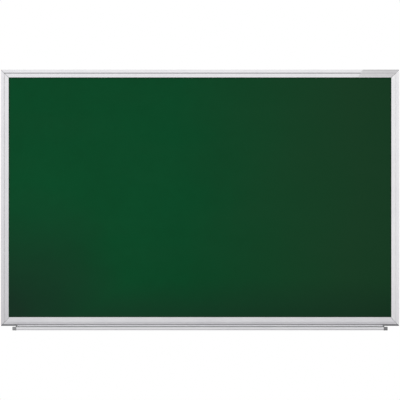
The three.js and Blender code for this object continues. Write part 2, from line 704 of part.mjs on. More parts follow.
function clipSection() {
  const inside = EDGE_RADIUS + FIT_GAP;
  const outside = inside + CLIP_THICK;
  const centreOut = railDepth - EDGE_RADIUS;
  const slope = BAND_FALL / (RAIL_FACE - LIP_RADIUS - grooveInner);
  const bandOut = (across) => railDepth - BAND_STEP - slope * (across - grooveInner);
  const ribFrom = OUTER_BAND + (GROOVE_WIDTH - CLIP_RIB_WIDTH) / 2;
  const ribTo = ribFrom + CLIP_RIB_WIDTH;
  const innerOut = railDepth + FIT_GAP;
  const bottomOut = bandOut(CLIP_BOTTOM_ACROSS) + FIT_GAP;
  const fall = (innerOut - bottomOut) / (CLIP_BOTTOM_ACROSS - OUTER_BAND);
  const faceOut = (across) => innerOut + CLIP_THICK - fall * (across - OUTER_BAND);

  const outline = new THREE.Shape();
  outline.absarc(EDGE_RADIUS, centreOut, outside, CLIP_START_ANGLE, Math.PI / 2, true);
  outline.lineTo(OUTER_BAND, innerOut + CLIP_THICK);
  outline.lineTo(ribFrom, faceOut(ribFrom));
  outline.lineTo(ribFrom + CLIP_LINE_EASE, faceOut(ribFrom) - CLIP_LINE_DEPTH);
  outline.lineTo(ribTo - CLIP_LINE_EASE, faceOut(ribTo) - CLIP_LINE_DEPTH);
  outline.lineTo(ribTo, faceOut(ribTo));
  outline.lineTo(CLIP_BOTTOM_ACROSS, bottomOut + CLIP_THICK);
  outline.lineTo(CLIP_BOTTOM_ACROSS, bottomOut);
  outline.lineTo(ribTo, bandOut(ribTo) + FIT_GAP + BAND_STEP / 2);
  outline.lineTo(ribTo, innerOut - CLIP_RIB_DEPTH);
  outline.lineTo(ribFrom, innerOut - CLIP_RIB_DEPTH);
  outline.lineTo(ribFrom, innerOut);
  outline.absarc(EDGE_RADIUS, centreOut, inside, Math.PI / 2, CLIP_START_ANGLE, false);
  return outline;
}

// The top rail's length runs towards -X in its own frame. The clip's right end follows the mitre.
function clipGeometry() {
  const sweep = prism(clipSection(), 0, 1);
  const spots = sweep.attributes.position;
  for (let i = 0; i < spots.count; i += 1) {
    const across = spots.getX(i);
    spots.setZ(i, -(spots.getZ(i) > 0.5 ? clipLeft - CLIP_SLANT * across : clipRight - across));
  }
  return geometryOf(solid(sweep));
}

// Assembly

const board = new THREE.Group();
const right = new THREE.Vector3(1, 0, 0);
const up = new THREE.Vector3(0, 0, 1);
const left = right.clone().negate();
const down = up.clone().negate();
const middle = (topEdge + bottomEdge) / 2;

board.add(panelLayer('writing_sheet', sheetRear, SHEET_THICK, ENAMEL));
board.add(panelLayer('panel_core', coreRear, CORE_THICK, BOARD_CORE));
board.add(panelLayer('backing_sheet', backingRear, BACKING_THICK, GALVANISED));

const topFrame = railFrame(down, left, new THREE.Vector3(0, 0, topEdge));
topFrame.add(piece('rail_top', railGeometry(BOARD_WIDTH), ALUMINIUM));
topFrame.add(piece('label_clip', clipGeometry(), PALE_PLASTIC));

const bottomFrame = railFrame(up, right, new THREE.Vector3(0, 0, bottomEdge));
bottomFrame.add(piece('rail_bottom', railGeometry(BOARD_WIDTH, bottomFace), ALUMINIUM));
bottomFrame.add(chalkTray());

const leftFrame = railFrame(right, down, new THREE.Vector3(-BOARD_WIDTH / 2, 0, middle));
leftFrame.add(piece('rail_left', railGeometry(BOARD_HEIGHT), ALUMINIUM));

const rightFrame = railFrame(left, up, new THREE.Vector3(BOARD_WIDTH / 2, 0, middle));
rightFrame.add(piece('rail_right', railGeometry(BOARD_HEIGHT), ALUMINIUM));

board.add(topFrame, bottomFrame, leftFrame, rightFrame);
for (const vertical of ['top', 'bottom']) {
  for (const side of ['left', 'right']) {
    board.add(cornerHardware(vertical, side));
  }
}

export default board;
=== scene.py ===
"""A wall chalkboard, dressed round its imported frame.

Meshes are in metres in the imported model's own frame: X runs across the board, Z is up, the wall is the
plane Y = 0 and the board stands in front of it, towards -Y. Sections are drawn in millimetres: "across" is
measured from the frame's outer edge inwards, and "out" from the wall forwards.
"""

import logging
import math
from dataclasses import dataclass, field
from enum import Enum, IntEnum
from typing import Callable, ClassVar, Iterable, Sequence

import bmesh
import bpy
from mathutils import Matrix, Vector
from mathutils.geometry import tessellate_polygon


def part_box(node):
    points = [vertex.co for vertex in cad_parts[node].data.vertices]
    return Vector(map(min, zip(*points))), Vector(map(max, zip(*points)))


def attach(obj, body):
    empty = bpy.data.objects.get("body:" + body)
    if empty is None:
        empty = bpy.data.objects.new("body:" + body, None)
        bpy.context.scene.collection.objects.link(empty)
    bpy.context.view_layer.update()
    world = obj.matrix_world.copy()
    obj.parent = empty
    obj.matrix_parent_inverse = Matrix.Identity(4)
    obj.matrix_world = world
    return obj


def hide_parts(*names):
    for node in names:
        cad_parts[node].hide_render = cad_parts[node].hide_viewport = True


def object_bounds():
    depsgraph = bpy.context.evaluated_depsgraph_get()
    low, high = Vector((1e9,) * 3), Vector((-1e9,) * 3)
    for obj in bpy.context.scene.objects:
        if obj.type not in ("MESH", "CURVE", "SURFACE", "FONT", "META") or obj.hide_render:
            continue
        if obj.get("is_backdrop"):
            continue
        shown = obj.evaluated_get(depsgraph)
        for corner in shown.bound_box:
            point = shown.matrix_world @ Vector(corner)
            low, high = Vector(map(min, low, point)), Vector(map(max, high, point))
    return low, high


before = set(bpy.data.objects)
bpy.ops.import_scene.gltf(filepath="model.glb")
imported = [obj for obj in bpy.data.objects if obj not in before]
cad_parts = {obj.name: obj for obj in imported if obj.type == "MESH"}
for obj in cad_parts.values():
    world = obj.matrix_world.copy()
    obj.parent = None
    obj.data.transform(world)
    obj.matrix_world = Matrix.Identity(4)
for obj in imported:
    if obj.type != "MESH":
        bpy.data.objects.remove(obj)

log = logging.getLogger("chalkboard")

MM = 0.001

# Each pair is a radius in millimetres and how many straight steps an arc of a smaller radius takes
ARC_STEPS = ((0.5, 3), (2.0, 5), (math.inf, 14))

# How far a strip of another finish reaches past its edges, in millimetres
STRIP_MARGIN = 0.05

# A mesh's vertices, loop by loop or row by row
VertexRows = list[list[bmesh.types.BMVert]]

# The frame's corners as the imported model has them
CORNERS = [(vertical, side) for vertical in ("top", "bottom") for side in ("left", "right")]


class Body(Enum):
    """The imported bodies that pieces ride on."""

    BOARD = "board"
    TRAY = "tray"
    CAM_LEFT = "cam_left"
    CAM_RIGHT = "cam_right"


class Slot(Enum):
    """The record's material slots, which are logged with the finer pieces."""

    ENAMEL = "green_enamel"
    GALVANISED = "galvanised_steel"
    ALUMINIUM = "anodised_aluminium"
    PALE_PLASTIC = "pale_plastic"
    GREY_PLASTIC = "grey_plastic"
    ZINC = "cast_zinc"
    PLATED = "plated_steel"


class Run(Enum):
    """Which way a drawn or rolled piece runs, as the axes that its lines are drawn out along."""

    ACROSS = (1.0, 0.0, 0.0)
    UPRIGHT = (0.0, 0.0, 1.0)


class Face(IntEnum):
    """Which of a swept piece's materials a face takes."""

    PLAIN = 0
    STRIP = 1
    SAWN = 2


# Sections


@dataclass(frozen=True)
class Corner:
    """A corner of a section, in millimetres, with the radius that it is eased by."""

    across: float
    out: float
    radius: float = 0.0

    @property
    def point(self) -> Vector:
        """The corner before it is eased."""
        return Vector((self.across, self.out))

    @property
    def steps(self) -> int:
        """How many straight steps its arc takes."""
        return next(steps for limit, steps in ARC_STEPS if self.radius < limit)


def eased(corners: Sequence[Corner]) -> list[Vector]:
    """Turns the corners of a closed section into points, with an arc at each eased corner.

    Args:
        corners: The section's corners in order.

    Returns:
        The section's points in the same order.
    """
    points: list[Vector] = []
    for i, corner in enumerate(corners):
        here = corner.point
        if corner.radius <= 0.0:
            points.append(here)
            continue
        back = (corners[i - 1].point - here).normalized()
        ahead = (corners[(i + 1) % len(corners)].point - here).normalized()
        half = back.angle(ahead) / 2
        centre = here + (back + ahead).normalized() * (corner.radius / math.sin(half))
        reach = corner.radius / math.tan(half)
        first = here + back * reach - centre
        last = here + ahead * reach - centre
        turn = math.atan2(first.x * last.y - first.y * last.x, first.dot(last))
        start = math.atan2(first.y, first.x)
        for step in range(corner.steps + 1):
            angle = start + turn * step / corner.steps
            points.append(centre + corner.radius * Vector((math.cos(angle), math.sin(angle))))
    return points


def arc(centre: Vector, radius: float, start: float, end: float, steps: int) -> list[Corner]:
    """Corners on an arc.

    Args:
        centre: The arc's centre, in millimetres.
        radius: Its radius, in millimetres.
        start: The first angle, in degrees.
        end: The last angle, in degrees.
        steps: How many straight steps it takes.

    Returns:
        The corners from start to end, both included.
    """
    corners = []
    for step in range(steps + 1):
        angle = math.radians(start + (end - start) * step / steps)
        corners.append(Corner(centre.x + radius * math.cos(angle), centre.y + radius * math.sin(angle)))
    return corners


def outward(loop: Sequence[Vector], is_hollow: bool) -> list[Vector]:
    """The directions that point out of the material at each point of a loop.

    Args:
        loop: The closed loop's points.
        is_hollow: Whether the loop bounds a hollow in the material.

    Returns:
        One unit vector for each point.
    """
    area = sum(a.x * b.y - a.y * b.x for a, b in zip(loop, list(loop[1:]) + [loop[0]]))
    sign = 1.0 if (area > 0.0) != is_hollow else -1.0
    ways = []
    for i, here in enumerate(loop):
        along = (loop[(i + 1) % len(loop)] - loop[i - 1]).normalized()
        ways.append(Vector((along.y, -along.x)) * sign)
    return ways


@dataclass(frozen=True)
class EndEase:
    """How the edge of a swept piece's end is eased, in millimetres."""

    radius: float = 0.15
    steps: int = 1

    def rings(self) -> list[tuple[float, float]]:
        """How far each ring is drawn in and pulled back, from the end face to the full section."""
        turns = [math.pi / 2 * step / self.steps for step in range(self.steps + 1)]
        return [(self.radius * (1 - math.sin(t)), self.radius * (1 - math.cos(t))) for t in turns]


@dataclass
class Sweep:
    """A section swept along a straight line between two ends, each of which may slant.

    An end says how far along it lies at a distance across, and it bends where "bends_at" says, if at all.
    "place" puts a point, given as across, out and along in millimetres, into the frame. Faces inside the
    strip have a finish of their own, and so have sawn ends.
    """

    name: str
    loops: list[list[Vector]]
    low_end: Callable[[float], float]
    high_end: Callable[[float], float]
    place: Callable[[float, float, float], Vector]
    low_ease: EndEase = EndEase()
    high_ease: EndEase = EndEase()
    bends_at: float = math.inf
    strip: tuple[float, float] = (0.0, 0.0)
    is_sawn: bool = False

    def build(self) -> bpy.types.Object:
        """Makes the swept piece as one closed mesh.

        Returns:
            The piece, whose strip and sawn ends have materials of their own.
        """
        shape = bmesh.new()
        ways = [outward(loop, i > 0) for i, loop in enumerate(self.loops)]
        stations = [(False, inset, pull) for inset, pull in self.low_ease.rings()]
        stations += [(True, inset, pull) for inset, pull in reversed(self.high_ease.rings())]
        rings = [self._ring(shape, ways, *station) for station in stations]
        full = self.low_ease.steps
        for step, (near, far) in enumerate(zip(rings, rings[1:])):
            for loop, low, high in zip(self.loops, near, far):
                for i, corner in enumerate(low):
                    j = (i + 1) % len(low)
                    face = shape.faces.new((corner, low[j], high[j], high[i]))
                    if self.is_sawn and step != full:
                        face.material_index = Face.SAWN
                    elif all(self.strip[0] < point.x < self.strip[1] for point in (loop[i], loop[j])):
                        face.material_index = Face.STRIP
        for ring in (rings[0], rings[-1]):
            self._close(shape, ring)
        return make_object(self.name, shape)

    def _close(self, shape: bmesh.types.BMesh, ring: VertexRows) -> None:
        """Closes an end with flat faces: one, or one on each side of the place where the end bends.

        Args:
            shape: The mesh being made.
            ring: The end's vertices, loop by loop.
        """
        outer = list(zip(self.loops[0], ring[0]))
        near = [pair for pair in outer if pair[0].x <= self.bends_at]
        far = [pair for pair in outer if pair[0].x >= self.bends_at]
        sides = [[near, *(list(zip(loop, row)) for loop, row in zip(self.loops[1:], ring[1:]))]]
        if len(near) < len(outer):
            sides.append([far])
        for loops in sides:
            spots = [vertex for loop in loops for _, vertex in loop]
            for triangle in tessellate_polygon([[point.to_3d() for point, _ in loop] for loop in loops]):
                face = shape.faces.new([spots[i] for i in triangle])
                face.material_index = Face.SAWN if self.is_sawn else Face.PLAIN

    def _ring(
        self, shape: bmesh.types.BMesh, ways: list[list[Vector]], is_high: bool, inset: float, pull: float
    ) -> VertexRows:
        """Adds the section's points at one place along the sweep.

        Args:
            shape: The mesh being made.
            ways: Where each point's outside is.
            is_high: Whether the ring belongs to the high end.
            inset: How far the section is drawn in.
            pull: How far the ring stands back from the end.

        Returns:
            The ring's vertices, loop by loop.
        """
        ring = []
        for loop, out_ways in zip(self.loops, ways):
            row = []
            for point, way in zip(loop, out_ways):
                spot = point - way * inset
                along = self.high_end(spot.x) - pull if is_high else self.low_end(spot.x) + pull
                row.append(shape.verts.new(self.place(spot.x, spot.y, along) * MM))
            ring.append(row)
        return ring


# Meshes and the frame's nodes

SHARP_ANGLE = math.radians(38)
FLAT_ANGLE = math.radians(1)
WELD_DISTANCE = 1e-6
EASE_STEPS = 2
FLAT_SHADING = "flat faces stay flat"
FLAT_SHADING_WEIGHT = 100


def make_object(name: str, shape: bmesh.types.BMesh) -> bpy.types.Object:
    """Turns a bmesh into a linked object, whose large flat faces shade flat beside their eased edges.

    Args:
        name: The object's name.
        shape: Its mesh, which is freed.

    Returns:
        The new object.
    """
    bmesh.ops.recalc_face_normals(shape, faces=shape.faces)
    for face in shape.faces:
        face.smooth = True
    for edge in shape.edges:
        edge.smooth = len(edge.link_faces) == 2 and edge.calc_face_angle() < SHARP_ANGLE
    mesh = bpy.data.meshes.new(name)
    shape.to_mesh(mesh)
    shape.free()
    piece = bpy.data.objects.new(name, mesh)
    bpy.context.scene.collection.objects.link(piece)
    shading = piece.modifiers.new(FLAT_SHADING, "WEIGHTED_NORMAL")
    shading.keep_sharp = True
    shading.weight = FLAT_SHADING_WEIGHT
    return piece


def eased_copy(node: str, ease: float) -> bpy.types.Object:
    """Copies a CAD node as a piece with eased edges.

    Args:
        node: The CAD node's name.
        ease: How wide its edges are eased, in millimetres.

    Returns:
        The new piece, which isn't dressed yet.
    """
    shape = bmesh.new()
    shape.from_mesh(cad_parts[node].data)
    bmesh.ops.remove_doubles(shape, verts=shape.verts, dist=WELD_DISTANCE)
    bmesh.ops.dissolve_limit(shape, angle_limit=FLAT_ANGLE, verts=shape.verts, edges=shape.edges)
    piece = make_object(node + "_eased", shape)
    bevel = piece.modifiers.new("eased edges", "BEVEL")
    bevel.width = ease * MM
    bevel.segments = EASE_STEPS
    bevel.limit_method = "ANGLE"
    bevel.angle_limit = SHARP_ANGLE
    bevel.use_clamp_overlap = True
    piece.modifiers.move(1, 0)
    return piece


def united(whole: bpy.types.Object, added: bpy.types.Object) -> bpy.types.Object:
    """Joins a second closed mesh to a first as one solid.

    Args:
        whole: The first object, which is kept.
        added: The second, which is used up.

    Returns:
        The first object with both shapes.
    """
    union = whole.modifiers.new("union", "BOOLEAN")
    union.operation = "UNION"
    union.solver = "EXACT"
    union.object = added
    whole.modifiers.move(1, 0)
    graph = bpy.context.evaluated_depsgraph_get()
    whole.modifiers[FLAT_SHADING].show_viewport = False
    graph.update()
    both = bpy.data.meshes.new_from_object(whole.evaluated_get(graph))
    whole.modifiers.remove(union)
    whole.modifiers[FLAT_SHADING].show_viewport = True
    whole.data = both
    bpy.data.objects.remove(added)
    return whole


def hand_over(
    piece: bpy.types.Object, finish: bpy.types.Material, slot: Slot, body: Body, node: str,
    more: Sequence[bpy.types.Material] = (),
) -> None:
    """Dresses a piece and ties it to the frame.

    Args:
        piece: The piece, already in place.
        finish: Its material.
        slot: The record's slot that the material belongs to.
        body: The body that it rides on.
        node: The CAD node that it stands for.
        more: The materials of its strip and of its sawn ends, where it has them.
    """
    indices = [face.material_index for face in piece.data.polygons]
    piece.data.materials.clear()
    for material in (finish, *more):
        piece.data.materials.append(material)
    piece.data.polygons.foreach_set("material_index", [min(index, len(more)) for index in indices])
    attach(piece, body.value)
    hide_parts(node)
    count = len(piece.data.vertices)
    log.info("%s: %d vertices, %s, rides on %s", piece.name, count, slot.value, body.value)


# Shader node groups

Socket = bpy.types.NodeSocket
Sockets = dict[str, Socket]

# The two ends of a span, as numbers or as sockets
Span = tuple[object, object]
UNIT: Span = (0.0, 1.0)

# Where nearly all values of a noise lie
NOISE: Span = (0.3, 0.7)

# Where the mix node keeps its two inputs and its result
MIX_SOCKETS = {"RGBA": (6, 7, 2), "VECTOR": (4, 5, 1)}


class NodeBench:
    """A node tree with short ways to add nodes and join them."""

    def __init__(self, tree: bpy.types.NodeTree) -> None:
        """Works on a node tree."""
        self.tree = tree

    def add(self, kind: str, values: dict[str, object] | None = None, **settings: object) -> bpy.types.Node:
        """Adds a node.

        Args:
            kind: Its Blender type.
            values: Input names with what goes in.
            settings: The node's own settings.

        Returns:
            The new node.
        """
        node = self.tree.nodes.new(kind)
        for name, setting in settings.items():
            setattr(node, name, setting)
        self.feed_all(node, values or {})
        return node

    def feed_all(self, node: bpy.types.Node, values: dict[str, object]) -> None:
        """Joins or sets a node's inputs.

        Args:
            node: The node.
            values: Input names with what goes in.
        """
        for name, value in values.items():
            self.feed(node.inputs[name], value)

    def feed(self, socket: Socket, value: object) -> None:
        """Joins or sets one input.

        Args:
            socket: The input.
            value: A socket to join it to, or the value to set.
        """
        if isinstance(value, Socket):
            self.tree.links.new(value, socket)
        else:
            socket.default_value = value

    def math(self, operation: str, first: object, second: object = 0.0) -> Socket:
        """Works a value out from one or two others.

        Args:
            operation: The math node's name for what is worked out.
            first: The first value or socket.
            second: The second.

        Returns:
            The result.
        """
        node = self.add("ShaderNodeMath", operation=operation)
        self.feed(node.inputs[0], first)
        self.feed(node.inputs[1], second)
        return node.outputs[0]

    def spread(self, value: object, span: Span = UNIT, to: Span = UNIT) -> Socket:
        """Maps a value from one span to another and keeps it inside.

        Args:
            value: The value or socket.
            span: The two ends that it comes from.
            to: The two ends that it goes to.

        Returns:
            The result.
        """
        node = self.add("ShaderNodeMapRange", {
            "Value": value, "From Min": span[0], "From Max": span[1], "To Min": to[0], "To Max": to[1],
        })
        return node.outputs["Result"]

    def blend(
        self, factor: object, first: object, second: object, kind: str = "RGBA", how: str = "MIX"
    ) -> Socket:
        """Mixes two colours or two vectors.

        Args:
            factor: How much of the second is mixed in.
            first: The first value or socket.
            second: The second.
            kind: The mix node's name for what is mixed.
            how: Its name for the way of mixing.

        Returns:
            The mix.
        """
        node = self.add("ShaderNodeMix", {"Factor": factor}, data_type=kind, blend_type=how)
        first_input, second_input, result = MIX_SOCKETS[kind]
        self.feed(node.inputs[first_input], first)
        self.feed(node.inputs[second_input], second)
        return node.outputs[result]

    def noise(self, spots: Socket, scale: object, detail: float) -> Socket:
        """Adds noise.

        Args:
            spots: Where it is worked out.
            scale: How fine it is.
            detail: How many finer layers it has.

        Returns:
            Its value.
        """
        values = {"Vector": spots, "Scale": scale, "Detail": detail}
        return self.add("ShaderNodeTexNoise", values).outputs["Fac"]


@dataclass(frozen=True)
class Effect:
    """A shader node group that several finishes share: its sockets and how it is filled."""

    name: str
    takes: tuple[tuple[str, str], ...]
    gives: tuple[tuple[str, str], ...]
    fill: Callable[[NodeBench, Sockets], Sockets]

    def group(self) -> bpy.types.NodeTree:
        """Finds the node group, or makes it the first time that it is asked for.

        Returns:
            The node group.
        """
        made = bpy.data.node_groups.get(self.name)
        if made is not None:
            return made
        tree = bpy.data.node_groups.new(self.name, "ShaderNodeTree")
        for way, sockets in (("INPUT", self.takes), ("OUTPUT", self.gives)):
            for name, kind in sockets:
                tree.interface.new_socket(name=name, in_out=way, socket_type=kind)
        bench = NodeBench(tree)
        entry = bench.add("NodeGroupInput")
        leave = bench.add("NodeGroupOutput")
        bench.feed_all(leave, self.fill(bench, {name: entry.outputs[name] for name, _ in self.takes}))
        return tree

    def place(self, bench: NodeBench, **values: object) -> Sockets:
        """Places the group in a material.

        Args:
            bench: The material's nodes.
            values: Its inputs by name.

        Returns:
            The group's outputs by name.
        """
        node = bench.add("ShaderNodeGroup", values, node_tree=self.group())
        return {name: node.outputs[name] for name, _ in self.gives}


FLOAT = "NodeSocketFloat"
VECTOR = "NodeSocketVector"
COLOR = "NodeSocketColor"


def two_scales(bench: NodeBench, given: Sockets, detail: float, ratio: float, share: float) -> Socket:
    """Noise at a group's scale, with noise at a second scale added.

    Args:
        bench: The group's nodes.
        given: The group's inputs.
        detail: How many finer layers the first noise has.
        ratio: The second noise's scale, as a multiple of the first one's.
        share: How much of the sum is the first noise.

    Returns:
        The sum.
    """
    first = bench.noise(given["Vector"], given["Scale"], detail)
    second = bench.noise(given["Vector"], bench.math("MULTIPLY", given["Scale"], ratio), detail=2.0)
    shares = (bench.math("MULTIPLY", first, share), bench.math("MULTIPLY", second, 1.0 - share))
    return bench.math("ADD", *shares)


def fill_mottle(bench: NodeBench, given: Sockets) -> Sockets:
    """Broad and fine blotches between two colours.

    Args:
        bench: The group's nodes.
        given: The group's inputs.

    Returns:
        The blotches as a colour and as a value.
    """
    blotch_span = (0.35, 0.65)
    value = bench.spread(two_scales(bench, given, detail=3.0, ratio=9.0, share=0.65), blotch_span)
    return {"Color": bench.blend(value, given["Dark"], given["Light"]), "Value": value}


MOTTLE = Effect(
    "mottle",
    (("Vector", VECTOR), ("Scale", FLOAT), ("Dark", COLOR), ("Light", COLOR)),
    (("Color", COLOR), ("Value", FLOAT)),
    fill_mottle,
)


def fill_drawn_lines(bench: NodeBench, given: Sockets) -> Sockets:
    """Fine lines that drawing or rolling leaves along a piece.

    Args:
        bench: The group's nodes.
        given: The group's inputs.

    Returns:
        The lines as a value and as a height.
    """
    height = two_scales(bench, given, detail=4.0, ratio=0.22, share=0.6)
    return {"Value": bench.spread(height, NOISE), "Height": height}


DRAWN_LINES = Effect(
    "drawn lines",
    (("Vector", VECTOR), ("Scale", FLOAT)),
    (("Value", FLOAT), ("Height", FLOAT)),
    fill_drawn_lines,
)


def fill_settled_dust(bench: NodeBench, given: Sockets) -> Sockets:
    """A thin film of chalk dust on faces that look upwards.

    Args:
        bench: The group's nodes.
        given: The group's inputs.

    Returns:
        The film as a mask.
    """
    normal = bench.add("ShaderNodeNewGeometry").outputs["Normal"]
    facing = bench.add("ShaderNodeSeparateXYZ", {"Vector": normal})
    slope_span, patch_span, thickness_span = (0.25, 0.9), (0.35, 0.7), (0.3, 1.0)
    up = bench.spread(facing.outputs["Z"], slope_span)
    patches = bench.noise(given["Vector"], given["Scale"], detail=5.0)
    thick = bench.spread(patches, patch_span, thickness_span)
    return {"Mask": bench.math("MULTIPLY", bench.math("MULTIPLY", up, thick), given["Amount"])}


SETTLED_DUST = Effect(
    "settled dust",
    (("Vector", VECTOR), ("Scale", FLOAT), ("Amount", FLOAT)),
    (("Mask", FLOAT),),
    fill_settled_dust,
)


def fill_foot_shade_and_film(bench: NodeBench, given: Sockets) -> Sockets:
    """Painted shade that darkens a board's metal more and more towards its lower edge, in uneven patches.

    Args:
        bench: The group's nodes.
        given: The group's inputs.

    Returns:
        The film as a mask.
    """
    place = bench.add("ShaderNodeSeparateXYZ", {"Vector": given["Vector"]})
    down = bench.spread(place.outputs["Z"], (given["Foot"], given["Head"]), (1.0, 0.0))
    shade_patch_scale, shade_patch_span = 14.0, (0.88, 1.0)
    shade_patches = bench.spread(bench.noise(given["Vector"], shade_patch_scale, detail=4.0), NOISE, shade_patch_span)
    return {"Mask": bench.math("MULTIPLY", down, shade_patches)}


FOOT_SHADE_AND_FILM = Effect(
    "foot shade and film",
    (("Vector", VECTOR), ("Foot", FLOAT), ("Head", FLOAT)),
    (("Mask", FLOAT),),
    fill_foot_shade_and_film,
)


# Finishes

Rgb = tuple[float, float, float]
CHALK_DUST: Rgb = (0.80, 0.80, 0.78)
BOARD_FOOT = -0.95
BOARD_HEAD = 0.0


def rgba(color: Rgb) -> tuple[float, float, float, float]:
    """The colour with full alpha."""
    return (*color, 1.0)


@dataclass(frozen=True)
class Finish:
    """A surface finish between two tones, which builds its own material."""

    name: str
    dark: Rgb
    light: Rgb
    roughness: float

    # How far the roughness swings below and above, how fine the blotches between the two tones are, and how
    # deep, in millimetres, and how strong the relief is
    swing: ClassVar[tuple[float, float]]
    blotch_scale: ClassVar[float]
    relief: ClassVar[tuple[float, float]]

    def build(self) -> bpy.types.Material:
        """Makes the material and dresses its nodes.

        Returns:
            The material.
        """
        material = bpy.data.materials.new(self.name)
        material.use_nodes = True
        self.dress(NodeBench(material.node_tree), material.node_tree.nodes["Principled BSDF"])
        log.info("finish %s", self.name)
        return material

    def dress(self, bench: NodeBench, surface: bpy.types.Node) -> None:
        """Adds this finish's nodes.

        Args:
            bench: The material's nodes.
            surface: Its Principled BSDF.
        """
        raise NotImplementedError

    def mottled(self, bench: NodeBench, spots: Socket) -> Sockets:
        """Blotches between the finish's two tones, as a colour and as a value."""
        tones = {"Dark": rgba(self.dark), "Light": rgba(self.light)}
        return MOTTLE.place(bench, Vector=spots, Scale=self.blotch_scale, **tones)

    def uneven(self, bench: NodeBench, value: Socket) -> Socket:
        """The roughness, which swings with a value from 0 to 1."""
        below, above = self.swing
        return bench.spread(value, to=(self.roughness - below, self.roughness + above))

    @staticmethod
    def spots(bench: NodeBench) -> Socket:
        """The place on the piece, in metres."""
        return bench.add("ShaderNodeTexCoord").outputs["Object"]

    def bump(self, bench: NodeBench, surface: bpy.types.Node, height: Socket) -> None:
        """Gives the surface its relief.

        Args:
            bench: The material's nodes.
            surface: Its Principled BSDF.
            height: The height, from 0 to 1.
        """
        depth, strength = self.relief
        node = bench.add("ShaderNodeBump", {"Height": height, "Distance": depth * MM, "Strength": strength})
        bench.feed(surface.inputs["Normal"], node.outputs["Normal"])


@dataclass(frozen=True)
class ChalkEnamel(Finish):
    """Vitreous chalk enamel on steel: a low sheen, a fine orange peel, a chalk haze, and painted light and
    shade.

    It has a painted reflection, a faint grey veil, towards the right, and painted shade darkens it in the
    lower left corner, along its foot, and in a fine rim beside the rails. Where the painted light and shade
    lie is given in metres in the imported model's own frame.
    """

    gloss: float = 0.06
    peel_scale: float = 420.0
    haze: Rgb = (0.10, 0.16, 0.12)
    haze_amount: float = 0.008
    haze_span: tuple[float, float] = (0.42, 0.75)
    wipe_scale: float = 1.5
    wipe_slant: float = math.radians(24)
    wipe_stretch: tuple[float, float, float] = (1.4, 1.0, 7.0)
    # painted reflection: the grey veil that the green takes towards the right
    painted_veil: Rgb = (0.0092, 0.0560, 0.0200)
    # painted shade: the darker green of the foot, the lower left corner and the rim beside the rails
    painted_shade: Rgb = (0.0062, 0.0290, 0.0145)
    veil_span: tuple[float, float] = (-0.05, 0.58)
    foot_span: tuple[float, float] = (-0.78, -0.93)
    foot_shade_depth: float = 0.62
    foot_drift: float = 0.3
    corner: tuple[float, float, float] = (-0.75, -0.02, -0.95)
    corner_span: tuple[float, float] = (0.07, 0.54)
    drift: float = 0.05
    drift_scale: float = 2.6
    # how far and how deep the painted shade beside the rails reaches
    rim_reach: float = 0.008
    rim_shade_depth: float = 0.9
    rim_drift: tuple[float, float] = (-0.001, 0.0015)
    rim_drift_scale: float = 35.0
    swing: ClassVar[tuple[float, float]] = (0.03, 0.04)
    blotch_scale: ClassVar[float] = 3.2
    relief: ClassVar[tuple[float, float]] = (0.05, 0.35)

    def _with_veil_and_shade(self, bench: NodeBench, spots: Socket, green: Socket) -> Socket:
        """The green with its painted reflection and painted shade.

        Args:
            bench: The material's nodes.
            spots: The place on the sheet.
            green: The colour where it is clean.

        Returns:
            The colour.
        """
        place = bench.add("ShaderNodeSeparateXYZ", {"Vector": spots}).outputs
        wander = bench.noise(spots, self.drift_scale, detail=3.0)
        shift = bench.spread(wander, NOISE, (-self.drift, self.drift))
        # painted reflection: a grey veil that grows towards the right
        veil_mask = bench.spread(bench.math("ADD", place["X"], shift), self.veil_span)
        level = bench.math("ADD", place["Z"], bench.math("MULTIPLY", shift, self.foot_drift))
        foot = bench.spread(level, self.foot_span, (0.0, self.foot_shade_depth))
        away = bench.add("ShaderNodeVectorMath", operation="DISTANCE")
        bench.feed(away.inputs[0], spots)
        bench.feed(away.inputs[1], self.corner)
        near = bench.math("ADD", away.outputs["Value"], shift)
        corner = bench.spread(near, self.corner_span, (1.0, 0.0))
        rim = self._rim(bench, spots, place["X"], place["Z"])
        # painted shade: the strongest of the foot, corner and rim masks
        painted_shade = bench.math("MAXIMUM", bench.math("MAXIMUM", foot, corner), rim)
        return bench.blend(painted_shade, bench.blend(veil_mask, green, rgba(self.painted_veil)), rgba(self.painted_shade))

    def _rim(self, bench: NodeBench, spots: Socket, across: Socket, up: Socket) -> Socket:
        """The mask of the painted shade in an uneven rim beside the rails' inner edges.

        Args:
            bench: The material's nodes.
            spots: The place on the sheet.
            across: Its X.
            up: Its Z.

        Returns:
            The mask.
        """
        half_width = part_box("rail_right")[0].x
        foot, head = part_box("rail_bottom")[1].z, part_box("rail_top")[0].z
        beside = bench.math("SUBTRACT", half_width, bench.math("ABSOLUTE", across))
        level = bench.math("ABSOLUTE", bench.math("SUBTRACT", up, (foot + head) / 2))
        within = bench.math("MINIMUM", beside, bench.math("SUBTRACT", (head - foot) / 2, level))
        ragged = bench.spread(bench.noise(spots, self.rim_drift_scale, detail=3.0), NOISE, self.rim_drift)
        inward = bench.math("ADD", within, ragged)
        return bench.spread(inward, (0.0, self.rim_reach), (self.rim_shade_depth, 0.0))

    def dress(self, bench: NodeBench, surface: bpy.types.Node) -> None:
        """Adds the green, its painted reflection and shade, its haze and its peel.

        Args:
            bench: The material's nodes.
            surface: Its Principled BSDF.
        """
        spots = self.spots(bench)
        green = self.mottled(bench, spots)
        painted_green = self._with_veil_and_shade(bench, spots, green["Color"])
        wiped = bench.add("ShaderNodeMapping", {
            "Vector": spots, "Rotation": (0.0, self.wipe_slant, 0.0), "Scale": self.wipe_stretch,
        })
        strokes = bench.noise(wiped.outputs["Vector"], self.wipe_scale, detail=5.0)
        haze = bench.spread(strokes, self.haze_span, (0.0, self.haze_amount))
        bench.feed_all(surface, {
            "Base Color": bench.blend(haze, painted_green, rgba(self.haze)),
            "Roughness": self.uneven(bench, green["Value"]),
            "Specular IOR Level": self.gloss,
        })
        self.bump(bench, surface, bench.noise(spots, self.peel_scale, detail=2.0))


